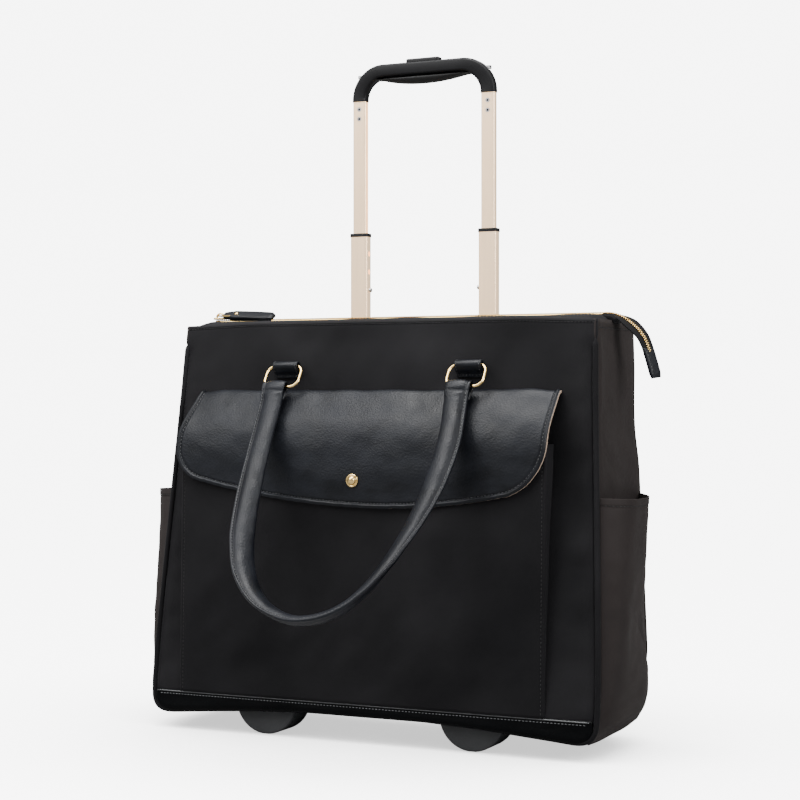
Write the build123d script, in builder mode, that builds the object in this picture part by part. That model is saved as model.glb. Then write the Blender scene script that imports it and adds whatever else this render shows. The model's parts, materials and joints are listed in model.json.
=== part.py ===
"""A soft wheeled laptop tote with a two-stage pull-out trolley handle.

The bag stands on two half-round front feet and two rear wheels. Its front leans out towards the
bottom, and its back is upright and holds the trolley tubes. X runs across the bag, Z is up, and
while the pieces are made Y is 0 on the outer back face, with the front at negative Y. Each piece
is moved by ORIGIN_Y as it is written, so that the origin is the bottom centre of the envelope.
"""

from build123d import *
from math import atan2, cos, radians, sin, sqrt, tan
import os

# Bag body
TOP_Z = 387.0  # top edge of the front panel above the floor
BASE_Z = 28.0  # underside of the bottom panel
TOP_DEPTH = 110.0  # back face to front face, at the top edge
BOTTOM_DEPTH = 151.0  # the same, at the bottom panel
TOP_HALF = 212.5  # half width at the top edge
BOTTOM_HALF = 222.0  # half width at the bottom panel
WALL = 4.0  # nylon, foam and lining together
SEAM = 5.4  # room that a corner seam leaves for its piping
PIPING_R = 2.4
CORNER_R = 28.0  # lower corners of the front panel
TURN_X = 186.0  # where a side panel, having turned under, meets the bottom panel
HEEL_R = 55.0  # lower rear corner, seen from the side
TRIM_Z = 38.0  # top edge of the leather along the bottom of the front
TRIM_T = 2.0

# Front pocket and its flap
POCKET_HALF = 184.0
POCKET_TOP_Z = 276.0
POCKET_LOW_Z = 44.0
POCKET_FACE = 148.0  # how far the pocket stands out from the back face at its mouth
POCKET_LEAN = 1.1  # degrees that the pocket leans out towards the bottom
POCKET_T = 3.0
FLAP_SEAM_Z = 322.0
FLAP_SAG = 10.0  # drop from the seam to halfway out over the pocket's mouth
FLAP_T = 2.2
FLAP_HINGE = 12.0  # height of the flap's fold above the pocket's mouth
FOLD_GAP = 0.7  # room below the fold for the flap's outer face as it lifts
FLAP_LENGTH = 70.0  # from the fold to the lowest point, in the middle
FLAP_RISE = 23.0  # from the lowest point up to the corners
FLAP_CORNER = 34.0
FLAP_HALF = 191.0
STUD_DROP = 46.0  # from the fold to the stud

# Side pockets
SIDE_POCKET_TOP_Z, SIDE_POCKET_LOW_Z = 228.0, 42.0
SIDE_POCKET_OUT = 246.0
SIDE_POCKET_T = 1.6

# Carry handles
RING_X = 94.0
RING_WIRE_R = 1.5
RING_W, RING_H, RING_CORNER = 41.0, 27.0, 8.0
RING_BAR_Z = 347.0  # axis of the ring bar held by the tab
RING_BAR_OUT = 7.5  # that axis from the panel behind it
RING_FALL = RING_H - 2 * RING_WIRE_R  # from the upper bar's axis to the lower bar's
TAB_W = 21.0
STRAP_W, STRAP_T = 22.0, 9.0
STRAP_TOP = 31.0  # from the upper bar down to where the padded strap starts
STRAP_DROP = 264.0  # from the upper bar down to the middle of the strap's lowest run
FRONT_LEAN = 34.0  # degrees that the front handle stands out from hanging straight down
REAR_LEAN = 9.0

# Trolley
POST_X, POST_Y = 69.0, -13.0
OUTER_W, OUTER_D, OUTER_WALL = 22.6, 14.6, 1.6
LOWER_W, LOWER_D, LOWER_WALL = 18.6, 10.6, 1.3
UPPER_W, UPPER_D, UPPER_WALL = 14.2, 7.2, 1.2
OUTER_BOTTOM_Z, OUTER_TOP_Z = 76.0, 378.5
LOWER_BOTTOM_Z, LOWER_TOP_Z = 180.0, 477.0
UPPER_BOTTOM_Z, UPPER_TOP_Z = 315.0, 620.0
COLLAR_T = 3.5
STRIP_Z, STRIP_T = 383.0, 2.0
BEZEL_Z, BEZEL_T = 385.0, 6.0
BEZEL_W, BEZEL_D = 190.0, 19.5
BEZEL_SCREW_X = 38.0
PIN_R, PIN_Z = 2.2, 424.0
STOP_PITCH = 18.0  # between the holes that the upper stage can stop at
PIN_PROUD = 2.8
PIN_TRAVEL = 1.5
GRIP_BOTTOM_Z, GRIP_TOP_Z = 612.0, 647.5
GRIP_BAR_Z = 630.5
GRIP_HALF, GRIP_LEG = 78.2, 18.4
BUTTON_HALF, BUTTON_TOP_Z, BUTTON_TRAVEL = 18.0, 650.3, 2.5
WELL = 7.0  # depth of the button's well below the top of the grip
SPIGOT_W, SPIGOT_D = 9.6, 4.4
ROD_R, ROD_BOTTOM_Z = 1.3, 330.0
LINK_Z, LINK_T = 636.3, 3.2

# Running gear
WHEEL_R, WHEEL_W, WHEEL_X, WHEEL_Y = 32.0, 22.0, 150.0, -27.0
HUB_R, AXLE_R, BORE_R = 23.0, 2.5, 2.55
HOUSING_HALF, HOUSING_WALL = 17.0, 2.5
FOOT_R, FOOT_X, FOOT_FLAT = 32.0, 105.0, 8.0
FOOT_FRONT, FOOT_T = 143.0, 32.0
FOOT_SCREW_X = 18.0  # each side of the foot's middle

# Zip
ZIP_Y = -60.0
LEAF_T = 2.0
LEAF_Z, LEAF_RISE = 387.4, 4.0  # the zipped top rises a little from its hinges to the teeth
LEAF_FRONT_Y, LEAF_REAR_Y = -104.0, -26.0
ZIP_HALF = 207.0
TOOTH_Z, TOOTH_H = 391.2, 3.8
SLIDER_X = -203.0

ORIGIN_Y = 112.0
GAP = 0.25

LEAN = atan2(BOTTOM_DEPTH - TOP_DEPTH, TOP_Z - BASE_Z)  # front panel, off the vertical
FLARE = atan2(BOTTOM_HALF - TOP_HALF, TOP_Z - BASE_Z)  # side panels, off the vertical
FACE_LENGTH = (TOP_Z - BASE_Z) / cos(LEAN)

# On the front plane, sketch x is X and sketch y runs up the face from the top edge.
FRONT = Plane(origin=(0, -TOP_DEPTH, TOP_Z), x_dir=(1, 0, 0), z_dir=(0, -cos(LEAN), sin(LEAN)))
# On the right side's plane, sketch x is Y and sketch y runs up the side from the top edge.
RIGHT_SIDE = Plane(origin=(TOP_HALF, 0, TOP_Z), x_dir=(0, 1, 0), z_dir=(cos(FLARE), 0, sin(FLARE)))
# On the pocket's plane, sketch y runs up the outer face of the pocket from its mouth.
_TILT = radians(POCKET_LEAN)
POCKET = Plane(
    origin=(0, -POCKET_FACE, POCKET_TOP_Z), x_dir=(1, 0, 0), z_dir=(0, -cos(_TILT), sin(_TILT))
)
FLAP_PLANE = POCKET.offset(1.0)  # inner face of the hanging flap


def half_width(z):
    """Half the bag's width at height z."""
    return TOP_HALF + (TOP_Z - z) * tan(FLARE)


def front_y(z, inside=0.0):
    """Y of the front face at height z, or of a plane that far behind it."""
    return -TOP_DEPTH - (TOP_Z - z) * tan(LEAN) + inside / cos(LEAN)


def write(piece, label):
    """Moves a finished piece to the envelope's origin and writes it as its own STEP file."""
    piece = piece.moved(Location((0, ORIGIN_Y, 0)))
    piece.label = label
    export_step(piece, f"parts/{label}.step")


def write_pair(right, stem):
    """Writes a right-hand piece and its mirror image as two nodes."""
    write(right, f"{stem}_right")
    write(mirror(right, about=Plane.YZ), f"{stem}_left")


def write_both(right, label):
    """Writes a right-hand piece and its mirror image as one node of two solids."""
    left = mirror(right, about=Plane.YZ)
    write(Compound(children=[*right.solids(), *left.solids()]), label)


# ---------------------------------------------------------------- bag body


def bag_form(inset):
    """The closed form of the bag, shrunk by inset: its front outline crossed with its side outline.

    A shrunk form stands a little higher than the bag, so that cutting it out leaves the top open.
    """
    high, low = TOP_Z + 2 * inset, BASE_Z + inset
    top, bottom = half_width(high) - inset, half_width(low) - inset
    with BuildPart() as form:
        with BuildSketch(Plane.XZ) as face:
            with BuildLine():
                Polyline((-top, high), (top, high), (bottom, low), (-bottom, low), close=True)
            make_face()
            fillet(face.vertices().group_by(Axis.Y)[0], CORNER_R - inset)
        extrude(amount=200, both=True)
        with BuildSketch(Plane.YZ) as flank:
            with BuildLine():
                Polyline(
                    (-inset, high),
                    (-inset, low),
                    (front_y(low, inset), low),
                    (front_y(high, inset), high),
                    close=True,
                )
            make_face()
            heel = flank.vertices().group_by(Axis.Y)[0].sort_by(Axis.X)[-1]
            fillet(heel, HEEL_R - inset)
        extrude(amount=300, both=True, mode=Mode.INTERSECT)
    return form.part


def gusset():
    """A side panel that turns under the bag at its lower edge, from piping to piping."""
    above = TOP_Z + 20
    with BuildPart() as panel:
        with BuildSketch(Plane.YZ.offset(TURN_X)):
            with BuildLine():
                Polyline(
                    (-SEAM, above),
                    (-SEAM, 0),
                    (front_y(0, SEAM), 0),
                    (front_y(above, SEAM), above),
                    close=True,
                )
            make_face()
        extrude(amount=60)
        add(bag_form(0), mode=Mode.INTERSECT)
        add(bag_form(WALL), mode=Mode.SUBTRACT)
    write_pair(panel.part, "gusset")


def bottom_panel():
    """The bottom with the curved heel behind it, notched for the wheel housings."""
    top, floor_top = BASE_Z + HEEL_R, BASE_Z + WALL + 1
    front, bend = front_y(BASE_Z, SEAM), -HEEL_R - 10
    with BuildPart() as panel:
        with BuildSketch(Plane.YZ):
            with BuildLine():
                Polyline(
                    (10, 0), (10, top), (bend, top), (bend, floor_top), (front, floor_top), (front, 0),
                    close=True,
                )
            make_face()
        extrude(amount=TURN_X - GAP, both=True)
        add(bag_form(0), mode=Mode.INTERSECT)
        add(bag_form(WALL), mode=Mode.SUBTRACT)
        with Locations((WHEEL_X, 0, BASE_Z), (-WHEEL_X, 0, BASE_Z)):
            Box(2 * HOUSING_HALF + 8, 142, 90, mode=Mode.SUBTRACT)
        with BuildSketch(Plane.XY):
            with Locations(*[(s * x, y) for x, y in foot_screw_places() for s in (-1, 1)]):
                Circle(1.6)
        extrude(amount=BASE_Z + WALL + 1, mode=Mode.SUBTRACT)
    write(panel.part, "bottom_panel")


def front_panel():
    top, low = TOP_HALF - SEAM, -FACE_LENGTH + SEAM
    bottom = BOTTOM_HALF - SEAM
    with BuildPart() as panel:
        with BuildSketch(FRONT) as face:
            with BuildLine():
                Polyline((-top, 0), (top, 0), (bottom, low), (-bottom, low), close=True)
            make_face()
            fillet(face.vertices().group_by(Axis.Y)[0], CORNER_R - SEAM)
        extrude(amount=-WALL)
    write(panel.part, "front_panel")


def back_panel():
    low, high = BASE_Z + HEEL_R + GAP, TOP_Z - 5
    a, b = half_width(high) - SEAM - WALL, half_width(low) - SEAM - WALL
    with BuildPart() as panel:
        with BuildSketch(Plane.XZ):
            with BuildLine():
                Polyline((-a, high), (a, high), (b, low), (-b, low), close=True)
            make_face()
        extrude(amount=3)
    write(panel.part, "back_panel")


def stage_holes():
    """Cuts a sketch for the two lower tubes, with a notch beside each for its stop pin."""
    hole_w, hole_d = LOWER_W + 0.8, LOWER_D + 0.8
    notch_x = POST_X - hole_w / 2 - 1
    with Locations((POST_X, POST_Y), (-POST_X, POST_Y)):
        RectangleRounded(hole_w, hole_d, 2.6, mode=Mode.SUBTRACT)
    with Locations((notch_x, POST_Y), (-notch_x, POST_Y)):
        Rectangle(6, 2 * PIN_R + 1.2, mode=Mode.SUBTRACT)


def top_strip():
    """The nylon strip behind the zip, held between the handle's bezel and its backing plate."""
    near, far = -3 - GAP, LEAF_REAR_Y + 1.5
    with BuildPart() as strip:
        with BuildSketch(Plane.XY.offset(STRIP_Z)):
            with Locations((0, (near + far) / 2)):
                Rectangle(2 * ZIP_HALF, near - far)
            stage_holes()
            with Locations((-BEZEL_SCREW_X, POST_Y), (BEZEL_SCREW_X, POST_Y)):
                Circle(1.7, mode=Mode.SUBTRACT)
        extrude(amount=STRIP_T)
    write(strip.part, "top_strip")


def base_board():
    """The stiff sheet in the bottom that the feet and the wheel housings are screwed to."""
    front, rear = front_y(BASE_Z, SEAM + WALL), -HEEL_R - 2
    with BuildPart() as board:
        with BuildSketch(Plane.XY.offset(BASE_Z + WALL + GAP)):
            with Locations((0, (front + rear) / 2)):
                RectangleRounded(2 * (BOTTOM_HALF - CORNER_R), rear - front, 8)
            with Locations((WHEEL_X, -40), (-WHEEL_X, -40)):
                Rectangle(2 * HOUSING_HALF + 1, 62, mode=Mode.SUBTRACT)
            foot_screw_holes()
        extrude(amount=2)
    write(board.part, "base_board")


def front_base_trim():
    """Leather along the foot of the front, turned under the bottom panel."""
    out, under = GAP + TRIM_T, BASE_Z - GAP - TRIM_T
    reach = FOOT_FRONT - FOOT_T - 4
    with BuildPart() as trim:
        with BuildSketch(Plane.YZ) as section:
            with BuildLine():
                Polyline(
                    (front_y(TRIM_Z, -GAP), TRIM_Z),
                    (front_y(BASE_Z - GAP, -GAP), BASE_Z - GAP),
                    (-reach, BASE_Z - GAP),
                    (-reach, under),
                    (front_y(under, -out), under),
                    (front_y(TRIM_Z, -out), TRIM_Z),
                    close=True,
                )
            make_face()
            fillet(section.vertices().group_by(Axis.Y)[0].sort_by(Axis.X)[0], 1.5)
        extrude(amount=BOTTOM_HALF - CORNER_R + 6, both=True)
        with BuildSketch(Plane.XY):
            with Locations(*[(s * x, y) for x, y in foot_screw_places() for s in (-1, 1)]):
                Circle(1.6)
        extrude(amount=BASE_Z, mode=Mode.SUBTRACT)
    write(trim.part, "front_base_trim")


def front_piping():
    """One cord down both front seams and along the bottom seam, in the front corner."""
    low, high = -FACE_LENGTH + SEAM / 2, -14
    top, bottom = half_width(TOP_Z + high) - SEAM / 2, BOTTOM_HALF - SEAM / 2
    middle = FRONT.offset(-SEAM / 2)
    start = middle.from_local_coords((-top, high, 0))
    along = middle.from_local_coords((-bottom, low, 0)) - start
    with BuildPart() as cord:
        with BuildLine(middle):
            FilletPolyline(
                (-top, high), (-bottom, low), (bottom, low), (top, high), radius=CORNER_R - SEAM / 2
            )
        with BuildSketch(Plane(origin=start, z_dir=along)):
            Circle(PIPING_R)
        sweep()
    write(cord.part, "front_piping")


def back_piping():
    """The cords in the two upright seams beside the back panel."""
    middle = RIGHT_SIDE.offset(-SEAM / 2)
    start = middle.from_local_coords((-SEAM / 2, -TOP_Z + BASE_Z + HEEL_R, 0))
    end = middle.from_local_coords((-SEAM / 2, -8, 0))
    with BuildPart() as cord:
        with BuildSketch(Plane(origin=start, z_dir=end - start)):
            Circle(PIPING_R)
        extrude(amount=(end - start).length)
    write_both(cord.part, "back_piping")


def laptop_divider():
    """The padded wall between the laptop sleeve and the main space."""
    with BuildPart() as pad:
        with BuildSketch(Plane.XZ.offset(52)):
            with Locations((0, 200)):
                RectangleRounded(390, 246, 12)
        extrude(amount=8)
        fillet(pad.edges().group_by(Axis.Y)[0], 2)
    write(pad.part, "laptop_divider")


def back_board():
    """The stiff sheet that the trolley is fixed to."""
    with BuildPart() as board:
        with BuildSketch(Plane.XZ.offset(22.6)):
            with Locations((0, 232)):
                RectangleRounded(396, 290, 10)
        extrude(amount=2)
    write(board.part, "back_board")


# ---------------------------------------------------------------- front pocket


def pocket_panel():
    height = POCKET_TOP_Z - POCKET_LOW_Z
    with BuildPart() as panel:
        with BuildSketch(POCKET):
            with Locations((0, -height / 2)):
                RectangleRounded(2 * POCKET_HALF, height, 4)
        extrude(amount=-POCKET_T)
    write(panel.part, "pocket_panel")


def pocket_gusset():
    """The tall wedges that join the sides of the pocket to the front panel."""
    height = POCKET_TOP_Z - POCKET_LOW_Z
    face = POCKET.offset(-POCKET_T - GAP)
    upper = face.from_local_coords((0, 0, 0))
    lower = face.from_local_coords((0, -height * 0.78, 0))
    with BuildPart() as panel:
        with BuildSketch(Plane.YZ.offset(POCKET_HALF - POCKET_T)):
            with BuildLine():
                Polyline(
                    (upper.Y, upper.Z),
                    (lower.Y, lower.Z),
                    (front_y(lower.Z, -GAP), lower.Z),
                    (front_y(upper.Z, -GAP), upper.Z),
                    close=True,
                )
            make_face()
        extrude(amount=POCKET_T)
    write_both(panel.part, "pocket_gusset")


def flap_shoulder():
    """The sewn-down top of the flap, rolled forward over the mouth of the pocket."""
    root = front_y(FLAP_SEAM_Z, -GAP)
    inner = FLAP_PLANE.from_local_coords((0, FLAP_HINGE + GAP, 0))
    outer = FLAP_PLANE.from_local_coords((0, FLAP_HINGE + GAP, FLAP_T))
    crest = (root + outer.Y) / 2
    with BuildPart() as shoulder:
        with BuildSketch(Plane.YZ):
            with BuildLine():
                top = Spline(
                    (root, FLAP_SEAM_Z),
                    (crest, FLAP_SEAM_Z - FLAP_SAG),
                    (outer.Y, outer.Z),
                    tangents=[(-1, -0.3), (-0.35, -1)],
                )
                under = Spline(
                    (root, FLAP_SEAM_Z - FLAP_T),
                    (crest + 0.8, FLAP_SEAM_Z - FLAP_SAG - FLAP_T),
                    (inner.Y, inner.Z),
                    tangents=[(-1, -0.3), (-0.35, -1)],
                )
                Line(top @ 0, under @ 0)
                Line(top @ 1, under @ 1)
            make_face()
        extrude(amount=FLAP_HALF - 4, both=True)
    write(shoulder.part, "flap_shoulder")


def flap():
    """The free part of the flap, with rounded lower corners and a bowed lower edge."""
    low = FLAP_HINGE - FLAP_LENGTH
    top, shoulder = FLAP_HINGE - FOLD_GAP, low + FLAP_RISE + FLAP_CORNER * 0.6
    with BuildPart() as lid:
        with BuildSketch(FLAP_PLANE):
            with BuildLine():
                left = Line((-FLAP_HALF + 3, top), (-FLAP_HALF, shoulder))
                right = Line((FLAP_HALF - 3, top), (FLAP_HALF, shoulder))
                bow = ThreePointArc(
                    (-FLAP_HALF + FLAP_CORNER, low + FLAP_RISE * 0.62),
                    (0, low),
                    (FLAP_HALF - FLAP_CORNER, low + FLAP_RISE * 0.62),
                )
                TangentArc(left @ 1, bow @ 0, tangent=left % 1)
                TangentArc(right @ 1, bow @ 1, tangent=right % 1)
                Line(left @ 0, right @ 0)
            make_face()
            with Locations((0, FLAP_HINGE - STUD_DROP)):
                Circle(2.2, mode=Mode.SUBTRACT)
        extrude(amount=FLAP_T)
    write(lid.part, "pocket_flap")


def flap_stud():
    """The closure on the flap: a shank through the leather, and a washer under two crossed bars."""
    centre = (0, FLAP_HINGE - STUD_DROP)
    washer = FLAP_PLANE.offset(FLAP_T + 0.1)
    with BuildPart() as stud:
        with BuildSketch(FLAP_PLANE.offset(-0.3)):
            with Locations(centre):
                Circle(2)
        extrude(amount=FLAP_T + 1)
        with BuildSketch(washer):
            with Locations(centre):
                Circle(5.6)
        extrude(amount=1.6)
        with BuildSketch(washer.offset(1.6)):
            with Locations(centre):
                RectangleRounded(11, 4.6, 2.2, rotation=65)
                RectangleRounded(11, 4.6, 2.2, rotation=-25)
        extrude(amount=2)
    write(stud.part, "flap_stud")


def snap_socket():
    """The magnet on the pocket, behind the stud."""
    with BuildPart() as socket:
        with BuildSketch(POCKET.offset(0.05)):
            with Locations((0, FLAP_HINGE - STUD_DROP)):
                Circle(7)
        extrude(amount=0.5)
    write(socket.part, "snap_socket")


# ---------------------------------------------------------------- side pockets


def side_pocket():
    """An open-topped pocket of thin nylon that stands out from the side panel."""
    seam = half_width(SIDE_POCKET_TOP_Z) - 3
    front, rear = front_y(SIDE_POCKET_TOP_Z, 11), -8
    with BuildPart() as pocket:
        with BuildSketch(Plane.XY.offset(SIDE_POCKET_LOW_Z)):
            with BuildLine():
                Polyline(
                    (seam, front),
                    (SIDE_POCKET_OUT, front + 12),
                    (SIDE_POCKET_OUT - 3, -46),
                    (seam, rear),
                    close=True,
                )
            make_face()
        extrude(amount=SIDE_POCKET_TOP_Z - SIDE_POCKET_LOW_Z)
        outer = pocket.edges().filter_by(Axis.Z).sort_by(Axis.X)[-2:]
        fillet(outer, 12)
        floor = pocket.faces().sort_by(Axis.Z)[0].edges().sort_by(Axis.X)[-3:]
        fillet(floor, 9)
        mouth = pocket.faces().sort_by(Axis.Z)[-1]
        seam_face = pocket.faces().sort_by(Axis.X)[0]
        offset(amount=-SIDE_POCKET_T, openings=[mouth, seam_face])
        split(bisect_by=RIGHT_SIDE.offset(GAP), keep=Keep.TOP)
    write_pair(pocket.part, "side_pocket")


# ---------------------------------------------------------------- zip and tail


def zip_leaf(hinge_y, toward, label):
    """One half of the zipped top, a band that rises from its hinge line to its row of teeth."""
    edge = ZIP_Y - toward * 2.6
    with BuildPart() as band:
        with BuildSketch(Plane.YZ):
            with BuildLine():
                Polyline(
                    (hinge_y, LEAF_Z),
                    (edge, LEAF_Z + LEAF_RISE),
                    (edge, LEAF_Z + LEAF_RISE + LEAF_T),
                    (hinge_y, LEAF_Z + LEAF_T),
                    close=True,
                )
            make_face()
        extrude(amount=ZIP_HALF, both=True)
    write(band.part, label)


def zip_teeth(toward, label):
    """One row of teeth, moulded along the edge of its half of the top."""
    with BuildPart() as row:
        with BuildSketch(Plane.YZ):
            with Locations((ZIP_Y - toward * 1.35, TOOTH_Z + TOOTH_H / 2)):
                Rectangle(2.3, TOOTH_H)
        extrude(amount=ZIP_HALF, both=True)
    write(row.part, label)


SLIDER_Z = TOOTH_Z + TOOTH_H + GAP
BAIL_Z = SLIDER_Z + 2  # top face of the slider, where its bail stands
PIVOT_Z = BAIL_Z + 1.6


def zip_slider():
    """The slider's body with an arched bail."""
    with BuildPart() as body:
        with BuildSketch(Plane.XY.offset(SLIDER_Z)):
            with Locations((SLIDER_X, ZIP_Y)):
                RectangleRounded(14, 8, 3)
        extrude(amount=2)
        with BuildSketch(Plane.XZ.offset(-ZIP_Y)):
            with Locations((SLIDER_X, BAIL_Z)):
                Circle(5)
                Circle(3.4, mode=Mode.SUBTRACT)
                with Locations((0, -5)):
                    Rectangle(12, 10, mode=Mode.SUBTRACT)
        extrude(amount=1.2, both=True)
    write(body.part, "zip_slider")


def pull_ring():
    """The flat ring that turns in the slider's bail."""
    with BuildPart() as ring:
        with BuildSketch(Plane.XY.offset(PIVOT_Z - 0.7)):
            with Locations((SLIDER_X + 6.75, ZIP_Y)):
                RectangleRounded(15, 12, 2.4)
                RectangleRounded(12, 9, 1, mode=Mode.SUBTRACT)
        extrude(amount=1.4)
    write(ring.part, "pull_ring")


def zip_pull():
    """The two-ply leather pull, sewn round the far side of the ring."""
    bar = SLIDER_X + 13.5
    with BuildPart() as pull:
        with BuildSketch(Plane.XY.offset(PIVOT_Z - 1.6)):
            with Locations((bar + 1, ZIP_Y)):
                Rectangle(8, 6.4)
            with Locations((bar + 26, ZIP_Y)):
                RectangleRounded(44, 12, 3)
        extrude(amount=3.4)
        with Locations((bar, ZIP_Y, PIVOT_Z)):
            Box(2.2, 20, 1.8, mode=Mode.SUBTRACT)
    write(pull.part, "zip_pull")


def zip_tail():
    """The end of the zip tape that hangs over the right-hand side."""
    with BuildPart() as tape:
        with BuildSketch(Plane.XZ.offset(-ZIP_Y - 7)):
            with BuildLine() as route:
                FilletPolyline((208, 391), (222, 386), (236, 373), (245, 358), radius=12)
            trace(route.line, line_width=2.6)
        extrude(amount=14)
    write(tape.part, "zip_tail")


def tail_tab():
    """The folded leather end of the tail."""
    start = (245.3, ZIP_Y, 357.6)
    with BuildPart() as tab:
        with BuildSketch(Plane(origin=start, x_dir=(0, 1, 0), z_dir=(5, 0, -24))):
            RectangleRounded(16, 5, 1.6)
        extrude(amount=28)
    write(tab.part, "tail_tab")


# ---------------------------------------------------------------- carry handles


def handle_plane(panel_y, lean, outward):
    """The plane a hanging handle lies in. Its origin is on the upper ring bar and y runs up."""
    a = radians(lean)
    return Plane(
        origin=(0, panel_y + outward * RING_BAR_OUT, RING_BAR_Z),
        x_dir=(-outward, 0, 0),
        z_dir=(0, outward * cos(a), sin(a)),
    )


def handle_rings(plane, label):
    """The two rings of one handle, each swept as a half and mirrored about its own middle."""
    side = RING_X if plane.x_dir.X > 0 else -RING_X
    edge = side + RING_W / 2 - RING_WIRE_R
    start = plane.from_local_coords((side, 0, 0))
    with BuildPart() as ring:
        with BuildLine(plane):
            FilletPolyline(
                (side, 0), (edge, 0), (edge, -RING_FALL), (side, -RING_FALL), radius=RING_CORNER
            )
        with BuildSketch(Plane(origin=start, z_dir=plane.x_dir)):
            Circle(RING_WIRE_R)
        sweep()
        mirror(about=Plane.YZ.offset(RING_X))
    write_both(ring.part, label)


def ring_tab(panel_y, outward):
    """A leather loop sewn to the panel and wrapped round a ring's upper bar."""
    bore = RING_WIRE_R + 0.4
    y = panel_y + outward * RING_BAR_OUT
    sewn = panel_y + outward * 2.4
    with BuildPart() as tab:
        with BuildSketch(Plane.YZ.offset(RING_X - TAB_W / 2)):
            with Locations((y, RING_BAR_Z)):
                Circle(bore + 1.8)
            with Locations(((y + sewn) / 2, RING_BAR_Z)):
                Rectangle(abs(y - sewn), 2 * bore + 3.6)
            with Locations((sewn, RING_BAR_Z)):
                Rectangle(2, 16)
            with Locations((y, RING_BAR_Z)):
                Circle(bore, mode=Mode.SUBTRACT)
        extrude(amount=TAB_W)
    return tab.part


def strap(plane, label):
    """A padded strap in a long U, with a leather loop round the lower bar of each ring."""
    bore = RING_WIRE_R + 0.4
    start = plane.from_local_coords((RING_X, -STRAP_TOP, 0))
    down = plane.from_local_coords((RING_X, -STRAP_DROP, 0)) - start
    with BuildPart() as band:
        with BuildLine(plane):
            FilletPolyline(
                (RING_X, -STRAP_TOP),
                (RING_X, -STRAP_DROP),
                (-RING_X, -STRAP_DROP),
                (-RING_X, -STRAP_TOP),
                radius=RING_X - 1,
            )
        with BuildSketch(Plane(origin=start, x_dir=(1, 0, 0), z_dir=down)):
            RectangleRounded(STRAP_W, STRAP_T, 4)
        sweep()
        for x in (-RING_X, RING_X):
            bar = plane.from_local_coords((x - TAB_W / 2 + 2, -RING_FALL, 0))
            with BuildSketch(Plane(origin=bar, x_dir=plane.y_dir, z_dir=plane.x_dir)):
                Circle(bore + 1.8)
                with Locations(((RING_FALL - STRAP_TOP) / 2, 0)):
                    Rectangle(STRAP_TOP - RING_FALL, 2 * bore + 3.6)
                Circle(bore, mode=Mode.SUBTRACT)
            extrude(amount=TAB_W - 4)
    write(band.part, label)


# ---------------------------------------------------------------- trolley


def tube(w, d, wall, z0, z1, corner):
    """A plain rounded tube on the right-hand post."""
    with BuildPart() as bare:
        with BuildSketch(Plane.XY.offset(z0)):
            with Locations((POST_X, POST_Y)):
                RectangleRounded(w, d, corner)
                RectangleRounded(w - 2 * wall, d - 2 * wall, corner / 2, mode=Mode.SUBTRACT)
        extrude(amount=z1 - z0)
    return bare.part


def outer_tube():
    """The fixed tube, slotted on its inner side for the stop pin."""
    bare = tube(OUTER_W, OUTER_D, OUTER_WALL, OUTER_BOTTOM_Z, OUTER_TOP_Z, 3)
    with BuildPart() as slotted:
        add(bare)
        with Locations((POST_X - OUTER_W / 2, POST_Y, OUTER_TOP_Z)):
            Box(2 * OUTER_WALL + 2, 2 * PIN_R + 1.4, 130, mode=Mode.SUBTRACT)
    write_both(slotted.part, "outer_tubes")


def lower_tube():
    """The first sliding stage, with the pin's hole and two more above it."""
    bare = tube(LOWER_W, LOWER_D, LOWER_WALL, LOWER_BOTTOM_Z, LOWER_TOP_Z, 2.4)
    with BuildPart() as drilled:
        add(bare)
        with BuildSketch(Plane.YZ.offset(POST_X)):
            with Locations(*[(POST_Y, PIN_Z + n * STOP_PITCH) for n in (0, 1, 2)]):
                Circle(PIN_R + 0.25)
        extrude(amount=-LOWER_W, mode=Mode.SUBTRACT)
    write_pair(drilled.part, "lower_tube")


def collars():
    """The black caps that the upper stage slides through."""
    with BuildPart() as collar:
        with BuildSketch(Plane.XY.offset(LOWER_TOP_Z)):
            with Locations((POST_X, POST_Y)):
                RectangleRounded(LOWER_W + 1.2, LOWER_D + 1.2, 2.8)
                RectangleRounded(UPPER_W + 0.7, UPPER_D + 0.7, 1.8, mode=Mode.SUBTRACT)
        extrude(amount=COLLAR_T)
        outer = collar.faces().sort_by(Axis.Z)[-1].outer_wire().edges()
        fillet(outer, 0.8)
    write_both(collar.part, "collars")


def stop_pin():
    """The sprung pin on the inner side of the lower stage."""
    inner = POST_X - LOWER_W / 2 + LOWER_WALL
    with BuildPart() as pin:
        with BuildSketch(Plane.YZ.offset(inner)):
            with Locations((POST_Y, PIN_Z)):
                Circle(PIN_R)
        extrude(amount=-LOWER_WALL - PIN_PROUD)
        fillet(pin.edges().group_by(Axis.X)[0], 1)
    write_pair(pin.part, "stop_pin")


def screw_places():
    """X and Z of the two grip screws on the right-hand post."""
    return [(POST_X, GRIP_BOTTOM_Z - 8), (POST_X, GRIP_BOTTOM_Z - 17.5)]


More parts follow.
